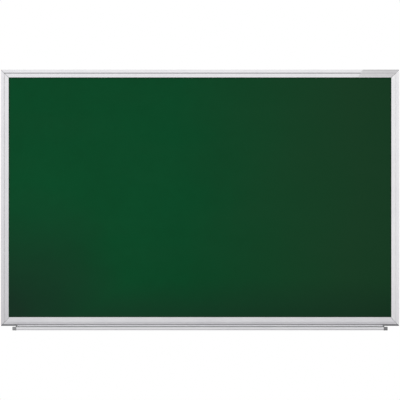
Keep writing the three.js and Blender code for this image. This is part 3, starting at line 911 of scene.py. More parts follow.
@dataclass(frozen=True)
class AnodisedAluminium(Finish):
    """Natural anodised aluminium, drawn along its run.

    "shade_and_film_at_foot" is the share of its brightness that painted shade leaves at the board's foot.
    """

    metallic: float
    run: Run
    shade_and_film_at_foot: float
    dust: float = 0.0
    drawn_out: float = 0.006
    line_scale: float = 1500.0
    cloud_scale: float = 11.0
    cloud_dark: Rgb = (0.95, 0.95, 0.96)
    cloud_light: Rgb = (1.0, 1.0, 1.0)
    film_roughness: float = 0.04
    dust_scale: float = 60.0
    swing: ClassVar[tuple[float, float]] = (0.05, 0.06)
    relief: ClassVar[tuple[float, float]] = (0.02, 0.25)

    def dress(self, bench: NodeBench, surface: bpy.types.Node) -> None:
        """Adds the drawn lines, the painted shade and film towards the foot, and the settled dust.

        Args:
            bench: The material's nodes.
            surface: Its Principled BSDF.
        """
        spots = self.spots(bench)
        stretch = tuple(self.drawn_out if along else 1.0 for along in self.run.value)
        drawn = bench.add("ShaderNodeMapping", {"Vector": spots, "Scale": stretch})
        lines = DRAWN_LINES.place(bench, Vector=drawn.outputs["Vector"], Scale=self.line_scale)
        metal = bench.blend(lines["Value"], rgba(self.dark), rgba(self.light))
        tones = {"Dark": rgba(self.cloud_dark), "Light": rgba(self.cloud_light)}
        cloud = MOTTLE.place(bench, Vector=spots, Scale=self.cloud_scale, **tones)
        # painted shade: the metal is darkened towards the board's foot
        shade_and_film_at_foot = FOOT_SHADE_AND_FILM.place(bench, Vector=spots, Foot=BOARD_FOOT, Head=BOARD_HEAD)["Mask"]
        foot_shaded_metal = bench.add("ShaderNodeVectorMath", operation="SCALE")
        bench.feed(foot_shaded_metal.inputs[0], bench.blend(1.0, metal, cloud["Color"], how="MULTIPLY"))
        bench.feed(foot_shaded_metal.inputs["Scale"], bench.spread(shade_and_film_at_foot, to=(1.0, self.shade_and_film_at_foot)))
        film = SETTLED_DUST.place(bench, Vector=spots, Scale=self.dust_scale, Amount=self.dust)["Mask"]
        # the same mask as the painted shade adds a rougher film at the foot
        smeared = bench.math("MULTIPLY", shade_and_film_at_foot, self.film_roughness)
        bench.feed_all(surface, {
            "Base Color": bench.blend(film, foot_shaded_metal.outputs[0], rgba(CHALK_DUST)),
            "Metallic": bench.spread(film, to=(self.metallic, 0.0)),
            "Roughness": bench.math("ADD", self.uneven(bench, lines["Value"]), smeared),
        })
        self.bump(bench, surface, lines["Height"])


@dataclass(frozen=True)
class MouldedPlastic(Finish):
    """Injection moulded plastic with a fine spark texture."""

    grain: float
    dust: float = 0.0
    dust_scale: float = 80.0
    swing: ClassVar[tuple[float, float]] = (0.04, 0.05)
    blotch_scale: ClassVar[float] = 35.0
    relief: ClassVar[tuple[float, float]] = (0.04, 0.5)

    def dress(self, bench: NodeBench, surface: bpy.types.Node) -> None:
        """Adds the colour, the grain and the settled dust.

        Args:
            bench: The material's nodes.
            surface: Its Principled BSDF.
        """
        spots = self.spots(bench)
        colour = self.mottled(bench, spots)
        film = SETTLED_DUST.place(bench, Vector=spots, Scale=self.dust_scale, Amount=self.dust)
        bench.feed_all(surface, {
            "Base Color": bench.blend(film["Mask"], colour["Color"], rgba(CHALK_DUST)),
            "Roughness": self.uneven(bench, colour["Value"]),
        })
        self.bump(bench, surface, bench.noise(spots, self.grain, detail=3.0))


@dataclass(frozen=True)
class GalvanisedSteel(Finish):
    """Hot-dipped sheet with its spangle of zinc crystals."""

    spangle: float
    metallic: float = 0.85
    crystal_warp: float = 0.012
    crystal_shade: float = 0.35
    swing: ClassVar[tuple[float, float]] = (0.08, 0.08)
    blotch_scale: ClassVar[float] = 5.0
    relief: ClassVar[tuple[float, float]] = (0.02, 0.12)

    def dress(self, bench: NodeBench, surface: bpy.types.Node) -> None:
        """Adds the cloudy zinc and its crystals.

        Args:
            bench: The material's nodes.
            surface: Its Principled BSDF.
        """
        spots = self.spots(bench)
        warp = bench.add("ShaderNodeTexNoise", {"Vector": spots, "Scale": self.spangle, "Detail": 2.0})
        moved = bench.blend(self.crystal_warp, spots, warp.outputs["Color"], "VECTOR")
        crystals = bench.add("ShaderNodeTexVoronoi", {"Vector": moved, "Scale": self.spangle})
        tone = bench.add("ShaderNodeSeparateColor", {"Color": crystals.outputs["Color"]}).outputs["Red"]
        cloud = self.mottled(bench, spots)["Color"]
        shade = bench.spread(tone, to=(0.0, self.crystal_shade))
        bench.feed_all(surface, {
            "Base Color": bench.blend(shade, cloud, rgba(self.dark)),
            "Roughness": self.uneven(bench, tone),
            "Metallic": self.metallic,
        })
        self.bump(bench, surface, tone)


@dataclass(frozen=True)
class PlatedSteel(Finish):
    """Zinc plated steel hardware, with the fine marks of tumbling."""

    metallic: float = 0.9
    mark_scale: float = 900.0
    swing: ClassVar[tuple[float, float]] = (0.06, 0.08)
    blotch_scale: ClassVar[float] = 130.0
    relief: ClassVar[tuple[float, float]] = (0.02, 0.3)

    def dress(self, bench: NodeBench, surface: bpy.types.Node) -> None:
        """Adds the plating's tone and marks.

        Args:
            bench: The material's nodes.
            surface: Its Principled BSDF.
        """
        spots = self.spots(bench)
        marks = DRAWN_LINES.place(bench, Vector=spots, Scale=self.mark_scale)
        bench.feed_all(surface, {
            "Base Color": self.mottled(bench, spots)["Color"],
            "Roughness": self.uneven(bench, marks["Value"]),
            "Metallic": self.metallic,
        })
        self.bump(bench, surface, marks["Height"])


@dataclass(frozen=True)
class RawBoard(Finish):
    """Pressed chip board, seen at its edge only when the panel is out of its frame."""

    chip_scale: float = 160.0
    chip_thinness: float = 4.0
    relief: ClassVar[tuple[float, float]] = (0.1, 0.5)

    def dress(self, bench: NodeBench, surface: bpy.types.Node) -> None:
        """Adds the chips.

        Args:
            bench: The material's nodes.
            surface: Its Principled BSDF.
        """
        stretch = (1.0, self.chip_thinness, 1.0)
        flat = bench.add("ShaderNodeMapping", {"Vector": self.spots(bench), "Scale": stretch})
        places = {"Vector": flat.outputs["Vector"], "Scale": self.chip_scale}
        chips = bench.add("ShaderNodeTexVoronoi", places)
        tone = bench.add("ShaderNodeSeparateColor", {"Color": chips.outputs["Color"]}).outputs["Green"]
        bench.feed_all(surface, {
            "Base Color": bench.blend(tone, rgba(self.dark), rgba(self.light)),
            "Roughness": self.roughness,
        })
        self.bump(bench, surface, tone)


class Finishes:
    """Every material of the board, built once."""

    def __init__(self) -> None:
        """Builds the materials."""
        satin = {"roughness": 0.38, "metallic": 0.92}
        plain = {"dark": (0.805, 0.798, 0.82), "light": (0.865, 0.858, 0.88), **satin}
        # painted light: the right rail takes a lighter copy of the same metal, and each piece takes its own
        # depth of painted shade at the foot
        painted_lit_tones = {"dark": (0.845, 0.838, 0.85), "light": (0.905, 0.898, 0.91), **satin}
        across, upright = Run.ACROSS, Run.UPRIGHT
        self.enamel = ChalkEnamel(
            "chalk_enamel", (0.0012, 0.055, 0.0160), (0.0018, 0.061, 0.0185), roughness=0.40
        ).build()
        self.rail_across = AnodisedAluminium(
            "anodised_rail_across", **plain, run=across, shade_and_film_at_foot=0.82
        ).build()
        self.rail_left = AnodisedAluminium("anodised_rail_left", **plain, run=upright, shade_and_film_at_foot=0.78).build()
        self.rail_right = AnodisedAluminium(
            "anodised_rail_right", **painted_lit_tones, run=upright, shade_and_film_at_foot=0.93
        ).build()
        # painted shade: the top rail's groove is darkened, and the left rail's groove less so
        self.painted_groove_shade = AnodisedAluminium(
            "painted_groove_shade", (0.20, 0.20, 0.21), (0.25, 0.25, 0.26),
            roughness=0.5, metallic=0.8, run=across, shade_and_film_at_foot=1.0,
        ).build()
        self.left_painted_groove_shade = AnodisedAluminium(
            "left_painted_groove_shade", (0.68, 0.67, 0.68), (0.74, 0.73, 0.74),
            roughness=0.45, metallic=0.85, run=upright, shade_and_film_at_foot=0.92,
        ).build()
        # painted shade: the bottom rail's lower, downward edge is darkened
        self.lower_edge_shade = AnodisedAluminium(
            "painted_lower_edge_shade", (0.49, 0.485, 0.51), (0.56, 0.555, 0.58),
            roughness=0.45, metallic=0.85, run=across, shade_and_film_at_foot=0.87,
        ).build()
        self.sawn = PlatedSteel(
            "sawn_mitre", (0.16, 0.16, 0.17), (0.24, 0.24, 0.25), roughness=0.6
        ).build()
        self.tray = AnodisedAluminium("anodised_tray", **plain, run=across, shade_and_film_at_foot=0.92, dust=0.12).build()
        self.clip = MouldedPlastic(
            "clip_plastic", (0.89, 0.88, 0.90), (0.94, 0.93, 0.95), roughness=0.40, grain=1800.0
        ).build()
        # painted shade: the clip's shallow line is darkened
        self.clip_line_shade = MouldedPlastic(
            "clip_line_shade", (0.58, 0.57, 0.59), (0.64, 0.63, 0.65), roughness=0.5, grain=1800.0
        ).build()
        self.cap = MouldedPlastic(
            "cap_plastic", (0.25, 0.25, 0.26), (0.30, 0.30, 0.31), roughness=0.5, grain=1500.0, dust=0.08
        ).build()
        self.backing = GalvanisedSteel(
            "backing_zinc", (0.42, 0.43, 0.44), (0.50, 0.51, 0.52), roughness=0.42, spangle=110.0
        ).build()
        self.plate = GalvanisedSteel(
            "plate_zinc", (0.38, 0.39, 0.40), (0.55, 0.56, 0.57), roughness=0.38, spangle=220.0
        ).build()
        self.plated = PlatedSteel(
            "plated_hardware", (0.50, 0.51, 0.52), (0.66, 0.66, 0.66), roughness=0.34
        ).build()
        self.zinc = PlatedSteel(
            "cast_cleat", (0.30, 0.31, 0.32), (0.42, 0.43, 0.44), roughness=0.55
        ).build()
        self.core = RawBoard("chip_core", (0.30, 0.19, 0.09), (0.50, 0.35, 0.19), roughness=0.85).build()


# The board's sub-assemblies


@dataclass
class RailSection:
    """The rails' extruded section, in millimetres across from the outer edge and out from the wall."""

    face: float = 29.5
    side_face: float = 29.5
    wall: float = 1.6
    box: float = 15.0
    band: float = 12.1
    edge_radius: float = 7.8
    groove: float = 2.4
    groove_depth: float = 2.6
    band_step: float = 1.0
    depth: float = 28.0
    lip_rear: float = 22.2
    lip_front: float = 23.6
    lip_land: float = 2.0
    lip_radius: float = 0.8
    rear_lip: tuple[float, float] = (6.6, 8.0)
    rear_lip_edge: float = 22.0
    ledge: tuple[float, float] = (10.4, 11.6)
    ledge_edge: float = 24.0
    slot_mouth: tuple[float, float] = (7.0, 13.0)
    slot_inside: tuple[float, float] = (5.0, 15.0)
    slot_floor: float = 4.6
    ease: float = 0.3
    tight: float = 0.2

    def outside(self) -> list[Corner]:
        """Draws the section's outline.

        Returns:
            Its corners.
        """
        ease, tight = self.ease, self.tight
        groove_end = self.band + self.groove
        return [
            Corner(0.0, 0.0, ease),
            Corner(self.box, 0.0, ease),
            Corner(self.box, self.rear_lip[0], tight),
            Corner(self.rear_lip_edge, self.rear_lip[0], ease),
            Corner(self.rear_lip_edge, self.rear_lip[1], ease),
            Corner(self.box, self.rear_lip[1], tight),
            Corner(self.box, self.ledge[0], tight),
            Corner(self.ledge_edge, self.ledge[0], ease),
            Corner(self.ledge_edge, self.ledge[1], ease),
            Corner(self.box, self.ledge[1], tight),
            Corner(self.box, self.depth - self.groove_depth - self.wall, ease),
            *self._bend_of_underside(),
            Corner(self.face - self.lip_land, self.lip_rear, ease),
            Corner(self.face, self.lip_rear, ease),
            Corner(self.face, self.lip_front, self.lip_radius),
            *self._bend_of_band(),
            Corner(groove_end, self.depth - self.band_step, ease),
            Corner(groove_end, self.depth - self.groove_depth, tight),
            Corner(self.band, self.depth - self.groove_depth, tight),
            Corner(self.band, self.depth, ease),
            Corner(0.0, self.depth, self.edge_radius),
            Corner(0.0, self.slot_mouth[1], ease),
            Corner(self.wall, self.slot_mouth[1], tight),
            Corner(self.wall, self.slot_inside[1], tight),
            Corner(self.slot_floor, self.slot_inside[1], tight),
            Corner(self.slot_floor, self.slot_inside[0], tight),
            Corner(self.wall, self.slot_inside[0], tight),
            Corner(self.wall, self.slot_mouth[0], tight),
            Corner(0.0, self.slot_mouth[0], ease),
        ]

    def hollow(self) -> list[Corner]:
        """Draws the chamber that takes the corner cleats.

        Returns:
            Its corners.
        """
        web = self.box - self.wall
        inner = self.slot_floor + self.wall
        front = self.depth - self.wall
        return [
            Corner(inner, self.wall, self.ease),
            Corner(web, self.wall, self.ease),
            Corner(web, self.depth - self.groove_depth - self.wall, self.ease),
            Corner(self.band - self.wall, front, self.ease),
            Corner(self.wall, front, self.edge_radius - self.wall),
            Corner(self.wall, self.slot_inside[1] + self.wall, self.ease),
            Corner(inner, self.slot_inside[1] + self.wall, self.ease),
        ]

    def _bend_of_underside(self) -> list[Corner]:
        """Finds where a wide rail's end turns from mitred to square, on the underside of its band.

        Returns:
            The one corner there, or none on the narrow rails.
        """
        if self.face <= self.side_face:
            return []
        foot, head = self.face - self.lip_land, self.depth - self.groove_depth - self.wall
        share = (self.side_face - self.box) / (foot - self.box)
        return [Corner(self.side_face, head + share * (self.lip_rear - head))]

    def _bend_of_band(self) -> list[Corner]:
        """Finds where a wide rail's end turns from mitred to square, on its sloping band.

        Returns:
            The one corner there, or none on the narrow rails.
        """
        if self.face <= self.side_face:
            return []
        return [Corner(self.side_face, self.band_out(self.side_face))]

    def band_out(self, across: float) -> float:
        """Works out where the sloping inner band stands.

        Args:
            across: How far across.

        Returns:
            How far out it is there.
        """
        start = self.band + self.groove
        fall = self.depth - self.band_step - self.lip_front
        return self.depth - self.band_step - fall * (across - start) / (self.face - self.lip_radius - start)


@dataclass(frozen=True)
class RailRun:
    """One rail of the frame, in millimetres: its length, its finish, its strip and where its points go."""

    length: float
    finish: bpy.types.Material
    place: Callable[[float, float, float], Vector]
    strip: tuple[float, float] = (0.0, 0.0)
    strip_finish: bpy.types.Material | None = None


@dataclass
class FrameRails:
    """The four mitred rails, in millimetres."""

    finishes: Finishes
    section: RailSection = field(default_factory=RailSection)
    wide: RailSection = field(default_factory=lambda: RailSection(face=33.0))
    mitre_ease: EndEase = EndEase(radius=0.45)
    mitre_gap: float = 0.3
    # the strip of the bottom rail's lower edge that takes its painted shade
    lower_edge: tuple[float, float] = (-0.1, 8.0)

    def build(self) -> None:
        """Makes the rails. The lower rail is wider, and its ends turn square past the mitre."""
        limit = self.section.face
        for side, run in self._runs().items():
            section = self.wide if side == "bottom" else self.section
            half = run.length / 2 - self.mitre_gap / math.sqrt(2)
            rail = Sweep(
                f"rail_{side}_drawn", [eased(section.outside()), eased(section.hollow())],
                lambda across, half=half: min(across, limit) - half,
                lambda across, half=half: half - min(across, limit),
                run.place, self.mitre_ease, self.mitre_ease, limit, run.strip, is_sawn=True,
            ).build()
            more = (run.strip_finish or run.finish, self.finishes.sawn)
            hand_over(rail, run.finish, Slot.ALUMINIUM, Body.BOARD, f"rail_{side}", more=more)

    def _runs(self) -> dict[str, RailRun]:
        """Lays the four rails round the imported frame.

        Returns:
            Each rail by the side that it stands on.
        """
        left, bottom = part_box("rail_left")[0].x / MM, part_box("rail_bottom")[0].z / MM
        right, top = -left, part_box("rail_top")[1].z / MM
        middle = (top + bottom) / 2
        width, height = right - left, top - bottom
        groove_end = self.section.band + self.section.groove
        groove = (self.section.band - STRIP_MARGIN, groove_end + STRIP_MARGIN)
        dressed = self.finishes
        return {
            "top": RailRun(
                width, dressed.rail_across,
                lambda across, out, along: Vector((along, -out, top - across)),
                groove, dressed.painted_groove_shade,
            ),
            "bottom": RailRun(
                width, dressed.rail_across,
                lambda across, out, along: Vector((along, -out, bottom + across)),
                self.lower_edge, dressed.lower_edge_shade,
            ),
            "left": RailRun(
                height, dressed.rail_left,
                lambda across, out, along: Vector((left + across, -out, middle + along)),
                groove, dressed.left_painted_groove_shade,
            ),
            "right": RailRun(
                height, dressed.rail_right,
                lambda across, out, along: Vector((right - across, -out, middle + along)),
            ),
        }


@dataclass
class WritingPanel:
    """The enamelled sheet, its core and its backing sheet, in millimetres.

    The sheet's front is a grid of so many columns and rows, and it waves so many times across and up.
    """

    finishes: Finishes
    columns: int = 60
    rows: int = 38
    edge_ease: float = 0.15
    backing_ease: float = 0.08
    edge_reach: float = 3.0
    wave: float = 0.05
    wave_across: float = 4.3
    wave_up: float = 3.1
    wave_start: float = 0.7

    def build(self) -> None:
        """Makes the sheets and dresses the core."""
        hand_over(self._enamelled_sheet(), self.finishes.enamel, Slot.ENAMEL, Body.BOARD, "writing_sheet")
        backing = eased_copy("backing_sheet", self.backing_ease)
        hand_over(backing, self.finishes.backing, Slot.GALVANISED, Body.BOARD, "backing_sheet")
        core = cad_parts["panel_core"]
        core.data.materials.clear()
        core.data.materials.append(self.finishes.core)
        log.info("panel_core keeps its CAD shape")

    def _enamelled_sheet(self) -> bpy.types.Object:
        """Makes the steel sheet, whose front is very slightly wavy, as rolled sheet is.

        Returns:
            The sheet.
        """
        low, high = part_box("writing_sheet")
        shape = bmesh.new()
        faces = {is_front: self._face(shape, is_front, low, high) for is_front in (True, False)}
        self._close_edge(shape, faces, low, high)
        return make_object("enamelled_sheet", shape)

    def _face(self, shape: bmesh.types.BMesh, is_front: bool, low: Vector, high: Vector) -> VertexRows:
        """Adds the sheet's wavy front or its flat back, short of its edges by their ease.

        Args:
            shape: The mesh being made.
            is_front: Whether it is the front.
            low: The sheet's lowest corner.
            high: Its highest corner.

        Returns:
            The face's vertices, row by row.
        """
        ease = self.edge_ease * MM
        lines = []
        for row in range(self.rows + 1):
            line = []
            for column in range(self.columns + 1):
                across, up = column / self.columns, row / self.rows
                x = low.x + ease + (high.x - low.x - 2 * ease) * across
                z = low.z + ease + (high.z - low.z - 2 * ease) * up
                y = self._front(low.y, across, up) if is_front else high.y
                line.append(shape.verts.new((x, y, z)))
            lines.append(line)
        for lower, upper in zip(lines, lines[1:]):
            for i in range(self.columns):
                shape.faces.new((lower[i], lower[i + 1], upper[i + 1], upper[i]))
        return lines

    def _front(self, out: float, across: float, up: float) -> float:
        """The Y of the front face at a share of the width and height.

        Args:
            out: The Y of the sheet's foremost plane.
            across: The share of the width.
            up: The share of the height.

        Returns:
            The Y there, never in front of the foremost plane.
        """
        sideways = math.sin(2 * math.pi * self.wave_across * across + self.wave_start)
        swell = sideways * math.cos(2 * math.pi * self.wave_up * up)
        return out + self.wave * MM * (1 + swell) / 2

    def _close_edge(
        self, shape: bmesh.types.BMesh, faces: dict[bool, VertexRows], low: Vector, high: Vector
    ) -> None:
        """Joins the front and back along an eased edge.

        Args:
            shape: The mesh being made.
            faces: The rows of vertices of the front and of the back.
            low: The sheet's lowest corner.
            high: Its highest corner.
        """
        rims = {}
        for is_front, lines in faces.items():
            rims[is_front] = (
                lines[0][:-1] + [line[-1] for line in lines[:-1]] + lines[-1][:0:-1]
                + [line[0] for line in reversed(lines[1:])]
            )
        middle = []
        for corner in rims[False]:
            x = low.x if corner.co.x < (low.x + high.x) / 2 else high.x
            z = low.z if corner.co.z < (low.z + high.z) / 2 else high.z
            is_side = min(corner.co.x - low.x, high.x - corner.co.x) < self.edge_reach * MM
            is_end = min(corner.co.z - low.z, high.z - corner.co.z) < self.edge_reach * MM
            spot = (x if is_side else corner.co.x, (low.y + high.y) / 2, z if is_end else corner.co.z)
            middle.append(shape.verts.new(spot))
        for rim in (rims[True], rims[False]):
            for i, corner in enumerate(rim):
                j = (i + 1) % len(rim)
                shape.faces.new((corner, rim[j], middle[j], middle[i]))


@dataclass
class ChalkTray:
    """The sliding tray, its end caps and its lock screws, in millimetres from the rail's lower edge."""

    finishes: Finishes
    section: RailSection = field(default_factory=RailSection)
    wall: float = 1.5
    rail_gap: float = 0.4
    flange: float = 1.6
    flange_rear: float = 4.0
    upstand: float = 4.1
    shelf: float = 0.3
    shelf_depth: float = 16.0
    trough_dip: float = 9.6
    trough_flat: float = 9.0
    trough_front_run: float = 6.3
    floor_eases: tuple[float, float, float] = (9.0, 7.0, 4.0)
    bead_radius: float = 5.8
    front_radius: float = 2.6
    bore_radius: float = 4.3
    bead_out: float = 84.4
    bead_drop: float = 7.4
    bore_steps: int = 36
    floor_joins: tuple[float, float] = (-55.0, 274.0)
    join_steps: tuple[int, int] = (10, 16)
    tongue: tuple[float, float] = (1.9, 4.3)
    neck: tuple[float, float] = (7.3, 12.7)
    head: tuple[float, float] = (5.3, 14.7)
    ease: float = 0.3
    shelf_ease: float = 1.2
    upstand_ease: float = 0.6
    end_ease: EndEase = EndEase(radius=0.2)
    screw_ease: float = 0.12
    cap_overlap: float = 1.0
    cap_ledge: float = 0.6
    cap_gap: float = 0.5
    cap_plate: float = 2.2
    cap_fit: float = 0.3
    cap_corner: float = 0.8
    cap_foot_ease: float = 4.0
    cap_steps: int = 24
    knob_ease: EndEase = EndEase(radius=1.4, steps=5)
    plate_ease: EndEase = EndEase(radius=0.4, steps=2)
    inner_ease: EndEase = EndEase(radius=0.15)
    bottom: float = field(init=False)
    bead: Vector = field(init=False)

    def __post_init__(self) -> None:
        """Finds the rail's lower edge and the bead's middle."""
        self.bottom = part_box("rail_bottom")[0].z / MM
        self.bead = Vector((-self.bead_drop, self.bead_out))

    def build(self) -> None:
        """Makes the tray's pieces and hands them over."""
        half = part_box("chalk_tray")[1].x / MM
        step = 360.0 / self.bore_steps
        bore = arc(self.bead, self.bore_radius, 0.0, 360.0 - step, self.bore_steps - 1)
        tray = Sweep(
            "tray_drawn", [eased(self._outside()), eased(bore)], lambda across: -half, lambda across: half,
            self._place, self.end_ease, self.end_ease,
        ).build()
        hand_over(tray, self.finishes.tray, Slot.ALUMINIUM, Body.TRAY, "chalk_tray")
        for side in ("left", "right"):
            cap = self._cap(side)
            hand_over(cap, self.finishes.cap, Slot.GREY_PLASTIC, Body.TRAY, f"tray_cap_{side}")
            screw = eased_copy(f"tray_lock_screw_{side}", self.screw_ease)
            hand_over(screw, self.finishes.plated, Slot.PLATED, Body.TRAY, f"tray_lock_screw_{side}")

    def _place(self, across: float, out: float, along: float) -> Vector:
        """The place of a section point, in millimetres."""
        return Vector((along, -out, self.bottom + across))

    def _floor_bends(self) -> list[Vector]:
        """Finds where the tray's floor bends.

        Returns:
            The shelf's edge and both sides of the trough.
        """
        front = self.section.depth + self.rail_gap + self.wall
        edge = Vector((self.shelf, front + self.shelf_depth))
        trough = Vector((-self.trough_dip, self._join(0).y - self.trough_front_run))
        return [edge, trough - Vector((0.0, self.trough_flat)), trough]

    def _join(self, which: int) -> Vector:
        """Where the floor's top (0) or underside (1) meets the bead."""
        angle = self.floor_joins[which]
        return arc(self.bead, self.bead_radius, angle, angle, 1)[0].point

    def _flat_front(self, reach: float, radius: float) -> list[Corner]:
        """The bead's flat front, from its lowest point to its highest.

        Args:
            reach: How far its sides stand from the bead's middle.
            radius: The radius of its two corners.

        Returns:
            The corners.
        """
        low, high, front = self.bead.x - reach, self.bead.x + reach, self.bead.y + reach
        return [Corner(low, self.bead.y), Corner(low, front, radius), Corner(high, front, radius),
                Corner(high, self.bead.y)]

    def _floor_under(self) -> list[Corner]:
        """Draws the underside of the tray's floor, one wall below its top.

        Returns:
            Its corners, from the upstand to the bead.
        """
        front = self.section.depth + self.rail_gap + self.wall
        line = [Vector((self.shelf, front)), *self._floor_bends(), self._join(0)]
        ways = [(b - a).normalized() for a, b in zip(line, line[1:])]
        corners = []
        for i, (before, after) in enumerate(zip(ways, ways[1:])):
            sides = [Vector((-way.y, way.x)) for way in (before, after)]
            both = sides[0] + sides[1]
            spot = line[i + 1] + both * (self.wall / (1 + sides[0].dot(sides[1])))
            turn = before.x * after.y - before.y * after.x
            radius = self.floor_eases[i] + (self.wall if turn > 0.0 else -self.wall)
            corners.append(Corner(spot.x, spot.y, max(radius, self.ease)))
        return corners

    def _outside(self) -> list[Corner]:
        """Draws the tray section's outline.

        Returns:
            Its corners.
        """
        rear = self.section.depth + self.rail_gap
        front = rear + self.wall
        top = -self.rail_gap
        bottom = top - self.flange
        ease = self.ease
        bends = zip(self._floor_bends(), self.floor_eases)
        over = [Corner(spot.x, spot.y, radius) for spot, radius in bends]
        return [
            Corner(bottom, self.flange_rear, ease),
            Corner(bottom, front, ease),
            Corner(self.shelf - self.wall, front, ease),
            *self._floor_under(),
            *arc(self.bead, self.bead_radius, self.floor_joins[1], 180.0, self.join_steps[1])[:-1],
            *self._flat_front(self.bead_radius, self.front_radius),
            *arc(self.bead, self.bead_radius, 0.0, self.floor_joins[0], self.join_steps[0])[1:],
            *reversed(over),
            Corner(self.shelf, front, self.shelf_ease),
            Corner(self.upstand, front, self.upstand_ease),
            Corner(self.upstand, rear, self.upstand_ease),
            Corner(top, rear, ease),
            Corner(top, self.neck[1], ease),
            Corner(self.tongue[0], self.neck[1], ease),
            Corner(self.tongue[0], self.head[1], ease),
            Corner(self.tongue[1], self.head[1], ease),
            Corner(self.tongue[1], self.head[0], ease),
            Corner(self.tongue[0], self.head[0], ease),
            Corner(self.tongue[0], self.neck[0], ease),
            Corner(top, self.neck[0], ease),
            Corner(top, self.flange_rear, ease),
        ]

    def _cap(self, side: str) -> bpy.types.Object:
        """One end cap: a plate that closes the trough's end, and a knob that carries the bead on.

        Args:
            side: left or right.

        Returns:
            The cap.
        """
        is_right = side == "right"
        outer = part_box(f"tray_cap_{side}")[is_right].x / MM
        inward = -1.0 if is_right else 1.0
        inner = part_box("chalk_tray")[is_right].x / MM - inward * self.cap_fit
        parts = []
        for corners, length, ease in (
            (self._plate_corners(), self.cap_plate, self.plate_ease),
            (self._knob_corners(), abs(outer - inner), self.knob_ease),
        ):
            ends = sorted((inner, inner - inward * length))
            eases = (self.inner_ease, ease) if is_right else (ease, self.inner_ease)
            part = Sweep(
                f"tray_cap_{side}_moulded", [eased(corners)],
                lambda across, low=ends[0]: low, lambda across, high=ends[1]: high, self._place, *eases,
            ).build()
            parts.append(part)
        return united(*parts)

    def _plate_corners(self) -> list[Corner]:
        """Draws the outline of an end cap's plate, a ledge wider than the tray's section.

        Returns:
            Its corners.
        """
        trough = self._floor_bends()[1]
        ledge = self.cap_overlap + self.cap_ledge
        rear = self.section.depth + self.cap_gap
        return [
            Corner(self.upstand + ledge, rear, self.cap_corner),
            Corner(-self.rail_gap - self.flange - ledge, rear, self.cap_corner),
            Corner(trough.x - self.wall - ledge, trough.y, self.cap_foot_ease),
            *self._flat_front(self.bead_radius + ledge, self.front_radius + ledge),
        ]

    def _knob_corners(self) -> list[Corner]:
        """Draws the outline of an end cap's knob, a little wider than the bead.

        Returns:
            Its corners.
        """
        reach = self.bead_radius + self.cap_overlap
        return [
            *self._flat_front(reach, self.front_radius + self.cap_overlap),
            *arc(self.bead, reach, 360.0, 180.0, self.cap_steps)[1:-1],
        ]


@dataclass
class LabelClip:
    """The bare clip over the right end of the top rail, in millimetres."""

    finishes: Finishes
    section: RailSection = field(default_factory=RailSection)
    thick: float = 0.8
    gap: float = 0.3
    start_angle: float = 150.0
    bottom: float = 27.5
    slant: float = 0.6
    rib: tuple[float, float] = (12.6, 14.0)
    rib_depth: float = 1.3
    line_depth: float = 0.4
    line_ease: float = 0.3
    bend_ease: float = 1.0
    ease: float = 0.3
    tight: float = 0.2
    bend_steps: int = 10

    def build(self) -> None:
        """Makes the clip and hands it over. Its right end follows the mitre."""
        low, high = (corner.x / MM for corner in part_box("label_clip"))
        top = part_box("rail_top")[1].z / MM
        loop = eased(self._outside())
        least = min(point.x for point in loop)
        clip = Sweep(
            "label_clip_moulded", [loop],
            lambda across: low + self.slant * (self.bottom - across), lambda across: high - (across - least),
            lambda across, out, along: Vector((along, -out, top - across)),
            # the strip of the shallow line, which takes its painted shade
            strip=(self.rib[0] - STRIP_MARGIN, self.rib[1] + STRIP_MARGIN),
        ).build()
        hand_over(clip, self.finishes.clip, Slot.PALE_PLASTIC, Body.BOARD, "label_clip",
                  more=(self.finishes.clip_line_shade,))

    def _outside(self) -> list[Corner]:
        """Draws the clip section's outline.

        Returns:
            Its corners.
        """
        rail = self.section
        centre = Vector((rail.edge_radius, rail.depth - rail.edge_radius))
        inner = rail.depth + self.gap
        end = rail.band_out(self.bottom) + self.gap
        fall = (inner - end) / (self.bottom - rail.band)
        face = [inner + self.thick - fall * (across - rail.band) for across in self.rib]
        reach = rail.edge_radius + self.gap
        return [
            *arc(centre, reach + self.thick, self.start_angle, 90.0, self.bend_steps),
            Corner(rail.band, inner + self.thick, self.bend_ease),
            Corner(self.rib[0], face[0]),
            Corner(self.rib[0] + self.line_ease, face[0] - self.line_depth),
            Corner(self.rib[1] - self.line_ease, face[1] - self.line_depth),
            Corner(self.rib[1], face[1]),
            Corner(self.bottom, end + self.thick, self.ease),
            Corner(self.bottom, end, self.tight),
            Corner(self.rib[1], rail.band_out(self.rib[1]) + self.gap + rail.band_step / 2),
            Corner(self.rib[1], inner - self.rib_depth, self.ease),
            Corner(self.rib[0], inner - self.rib_depth, self.ease),
            Corner(self.rib[0], inner),
            *arc(centre, reach, 90.0, self.start_angle, self.bend_steps),
        ]


